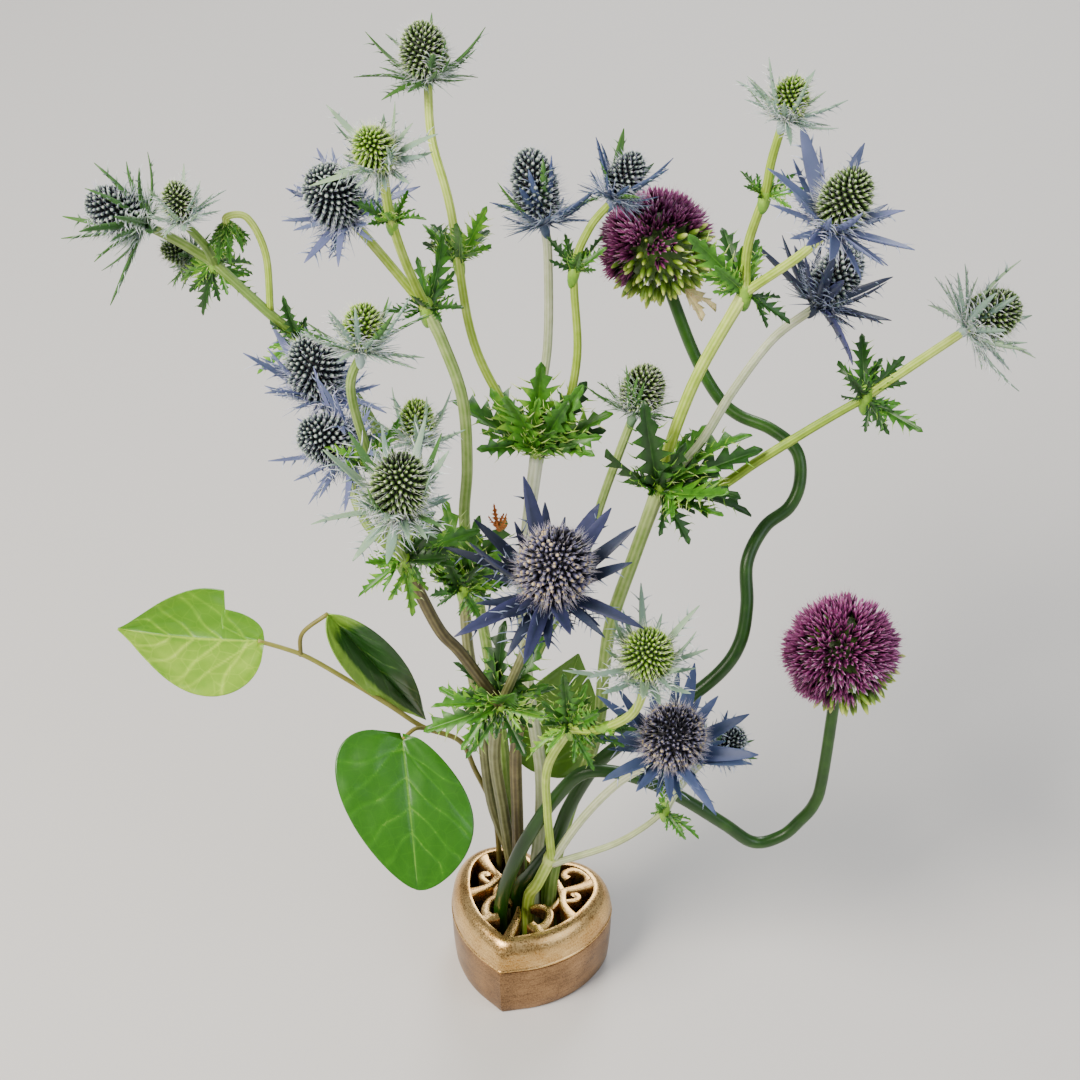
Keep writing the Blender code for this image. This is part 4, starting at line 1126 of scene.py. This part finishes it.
# A wall built up from heart outlines of (inset, height, softness of the point): the first is
# drawn from a circle, and each next one is extruded from the last. A ring is then bridged shut.
def raiseHearts(name, levels, ring):
    count = len(heart(1.0))
    clearSelection()
    bpy.ops.mesh.primitive_circle_add(vertices=count, radius=vase["lobeR"] * mm, fill_type="NOTHING")
    piece = bpy.context.object
    piece.name = name
    for k, (inset, height, soft) in enumerate(levels):
        if k:
            bpy.ops.object.mode_set(mode="EDIT")
            bpy.ops.mesh.extrude_region_move()
            bpy.ops.object.mode_set(mode="OBJECT")
        row = [vert for vert in piece.data.vertices if vert.select]
        for vert, (x, y) in zip(row, heart(inset, soft)):
            vert.co = vaseTurn @ Vector((x, y, height)) * mm
        if not k and not ring:
            bpy.ops.object.mode_set(mode="EDIT")
            bpy.ops.mesh.edge_face_add()
            bpy.ops.object.mode_set(mode="OBJECT")
    bpy.ops.object.mode_set(mode="EDIT")
    if ring:
        bpy.ops.mesh.select_all(action="DESELECT")
        bpy.ops.mesh.select_non_manifold()
        bpy.ops.mesh.bridge_edge_loops()
    else:
        bpy.ops.mesh.edge_face_add()
    closeMesh(0.005)
    bpy.ops.object.shade_smooth_by_angle(angle=math.radians(32))
    return piece


# Levels of a quarter-round, from the outer inset and low height to the inner inset and high height.
def dome(outer, low, inner, high, steps, softLow, softHigh):
    return [(outer + (inner - outer) * (1 - math.cos(math.pi / 2 * i / steps)),
             low + (high - low) * math.sin(math.pi / 2 * i / steps),
             softLow + (softHigh - softLow) * min(1, 2 * i / steps)) for i in range(steps + 1)]


# One scroll of the openwork: a flat-topped bar on edge, swept along its line, its width changing.
def scrollPiece(name, points, widths, drop):
    top = Vector((0, 0, vase["height"] - drop))
    path = [vaseTurn @ (place + top) for place in smoothRoute([(x, y, 0) for x, y in points])]
    spans = len(widths) - 1
    wide = []
    for i in range(len(path)):
        spread = i / (len(path) - 1) * spans
        k = min(int(spread), spans - 1)
        wide.append(widths[k] + (widths[k + 1] - widths[k]) * (spread - k))
    piece = sweep(name, path, wide, barProfile, "Z_UP", 0.005)
    bpy.ops.object.shade_smooth_by_angle(angle=math.radians(35))
    return piece


print("vase")
rim = vase["cleftR"]  # the widest outline
wallIn = rim + vase["wall"]
# Levels of the cup: up its outside, over its rim and down to its floor
bodyLevels = [(rim + 1.7, 0.0, 0.6), (rim + 1.15, 0.4, 0.4), (rim + 0.8, 1.6, 0.2), (rim + 0.5, 4.5, 0.15),
              (rim + 0.2, 9.0, 0.15), (rim + 0.03, 13.5, 0.15), (rim, vase["bodyH"] - 0.5, 0.15),
              (rim + 0.1, vase["bodyH"] - 0.15, 0.2), (rim + 0.4, vase["bodyH"], 0.3),
              (wallIn, vase["bodyH"], 0.3), (wallIn + 0.6, vase["floor"], 0.3)]
finish(raiseHearts("vase_body_visual", bodyLevels, False), bodyBrass, ["vase_body"])

seam = vase["bodyH"] + vase["gap"]
lipIn = wallIn + vase["gap"] + vase["lipWall"]
# Levels of the lid: its lower edge and bead, the dome, the window's edge, and down inside to the lip
lidLevels = [(rim + 0.45, seam, 0.4), (rim - 0.05, seam + 0.12, 0.3), (rim - 0.2, seam + 0.4, 0.3),
             (rim - 0.15, seam + 0.75, 0.4), (rim + 0.08, seam + 1.0, 0.5)]
lidLevels += dome(rim + 0.05, seam + 1.15, vase["inset"] - 0.45, vase["height"], 14, 0.6, 3.2)
lidLevels += [(vase["inset"] - 0.12, vase["height"] - 0.05, 1.5),
              (vase["inset"], vase["height"] - 0.35, 1.2)]
lidLevels += list(reversed(dome(lipIn, seam, vase["inset"], vase["height"] - vase["rimH"], 5, 0.4, 1.2)))
lidLevels += [(lipIn, seam - vase["lipD"], 0.4), (wallIn + vase["gap"], seam - vase["lipD"], 0.4),
              (wallIn + vase["gap"], seam, 0.4)]
finish(raiseHearts("vase_lid_visual", lidLevels, True), lidBrass, ["vase_lid"])

# The bar's section is one unit wide, with its flat top at the line itself
barProfile = makeProfile("barProfile", [(-0.46, -2.1), (-0.5, -0.14), (-0.44, -0.03), (-0.36, 0.0),
                                        (0.36, 0.0), (0.44, -0.03), (0.5, -0.14), (0.46, -2.1)])

# Lines in the heart's own plan, with the bar's widths spread along them. Sides are 1 for the right
# and -1 for its mirror image, and drop is how far the top lies under the vase's full height.
scrolls = {
    "bar": {"points": [(0.4, -17.4), (0.6, -11), (0.4, -7), (-0.5, -3.6)], "widths": [3.6, 2.9, 2.3, 0.7],
            "sides": (1,), "drop": 0.2},
    "front": {"points": [(3.0, -3.1), (4.6, -1.7), (7.2, -1.4), (9.3, -3.2), (9.7, -6.2), (8.8, -9.0),
                         (6.8, -9.9), (5.0, -8.8)],
              "widths": [0.9, 1.7, 2.1, 2.2, 2.3, 2.8, 3.0, 3.3, 2.8], "sides": (-1, 1), "drop": 0.25},
    "foot": {"points": [(7.0, -9.2), (7.9, -10.4), (8.7, -11.6)], "widths": [3.1, 3.5, 3.7],
             "sides": (-1, 1), "drop": 0.22},
    "side": {"points": [(16.7, -2.7), (14.4, -1.0), (12.0, 1.6), (10.8, 4.4), (10.0, 7.2)],
             "widths": [3.8, 2.9, 2.2, 2.2, 2.8], "sides": (-1, 1), "drop": 0.18},
    "rear": {"points": [(9.6, 6.4), (13.4, 8.8), (16.0, 11.0), (17.8, 13.1)],
             "widths": [1.8, 2.8, 3.4, 4.2], "sides": (-1, 1), "drop": 0.2},
    "curl": {"points": [(16.6, 11.6), (15.6, 14.6), (13.2, 16.0), (10.6, 16.0), (8.7, 14.6), (8.6, 12.9),
                        (10.1, 12.0)], "widths": [3.1, 2.8, 2.4, 2.2, 2.1, 2.1, 2.9], "sides": (1,),
             "drop": 0.24},
    "cusp": {"points": [(10.0, 6.2), (8.6, 8.4), (7.5, 10.4)], "widths": [2.7, 1.8, 0.4], "sides": (1,),
             "drop": 0.22},
    "knob": {"points": [(11.6, 3.0), (13.2, 3.6), (14.9, 4.6), (15.2, 6.0), (14.0, 6.6), (13.4, 5.7)],
             "widths": [1.4, 1.6, 1.9, 2.0, 2.2, 2.4], "sides": (-1, 1), "drop": 0.5},
    "link": {"points": [(10.4, 5.6), (9.9, 2.8), (8.8, -0.6)], "widths": [1.7, 1.4, 1.6], "sides": (-1, 1),
             "drop": 1.0},
}
for word, form in scrolls.items():
    for sign in form["sides"]:
        points = [(x * sign, y) for x, y in form["points"]]
        name = f"vase_scroll_{word}_{'left' if sign < 0 else 'right'}"
        finish(scrollPiece(name, points, form["widths"], form["drop"]), lidBrass, ())
for profile in (barProfile, ridgedProfile, roundProfile):
    bpy.data.objects.remove(profile)


# Floor, light and camera, in metres

studio = {
    "floor": {"size": 6, "colour": "#d4d2cf", "roughness": 0.9},
    "room": {"colour": "#e9edf2", "strength": 0.4},
    "camera": {"place": (0.00485, -0.50034, 0.55488), "down": 38, "lens": 80, "sensor": 36},
    "lights": {
        "keyLight": {"place": (-0.72, -0.5, 1.02), "aim": 0.12, "size": 0.62, "watts": 29,
                     "colour": "#fff6ea"},
        "fillLight": {"place": (0.9, -0.6, 0.8), "aim": 0.12, "size": 0.9, "watts": 6,
                      "colour": "#eef3ff"},
        "backLight": {"place": (0.2, 1.0, 0.9), "aim": 0.15, "size": 0.6, "watts": 9,
                      "colour": "#ffffff"},
    },
}

print("studio")
clearSelection()
bpy.ops.mesh.primitive_plane_add(size=studio["floor"]["size"], location=(0, 0, 0))
floorPiece = bpy.context.object
floorPiece.name = "studio_floor"
floorMaterial = bpy.data.materials.new("paleFloor")
floorMaterial.use_nodes = True
floorShader = floorMaterial.node_tree.nodes["Principled BSDF"]
floorShader.inputs["Base Color"].default_value = hexColour(studio["floor"]["colour"])
floorShader.inputs["Roughness"].default_value = studio["floor"]["roughness"]
floorPiece.data.materials.append(floorMaterial)

# Round soft lamps, each aimed at a height over the vase
for name, light in studio["lights"].items():
    lamp = bpy.data.lights.new(name, "AREA")
    lamp.shape = "DISK"
    lamp.size = light["size"]
    lamp.energy = light["watts"]
    lamp.color = hexColour(light["colour"])[:3]
    holder = bpy.data.objects.new(name, lamp)
    holder.location = light["place"]
    aim = Vector((0, 0, light["aim"])) - Vector(light["place"])
    holder.rotation_euler = aim.to_track_quat("-Z", "Y").to_euler()
    bpy.context.scene.collection.objects.link(holder)

world = bpy.data.worlds.new("softRoom")
bpy.context.scene.world = world
world.use_nodes = True
background = world.node_tree.nodes["Background"]
background.inputs["Color"].default_value = hexColour(studio["room"]["colour"])
background.inputs["Strength"].default_value = studio["room"]["strength"]

cameraData = bpy.data.cameras.new("camera")
cameraData.lens = studio["camera"]["lens"]
cameraData.sensor_width = studio["camera"]["sensor"]
camera = bpy.data.objects.new("camera", cameraData)
camera.location = studio["camera"]["place"]
camera.rotation_euler = (math.radians(90 - studio["camera"]["down"]), 0, 0)
bpy.context.scene.collection.objects.link(camera)
bpy.context.scene.camera = camera

print("pieces ready")
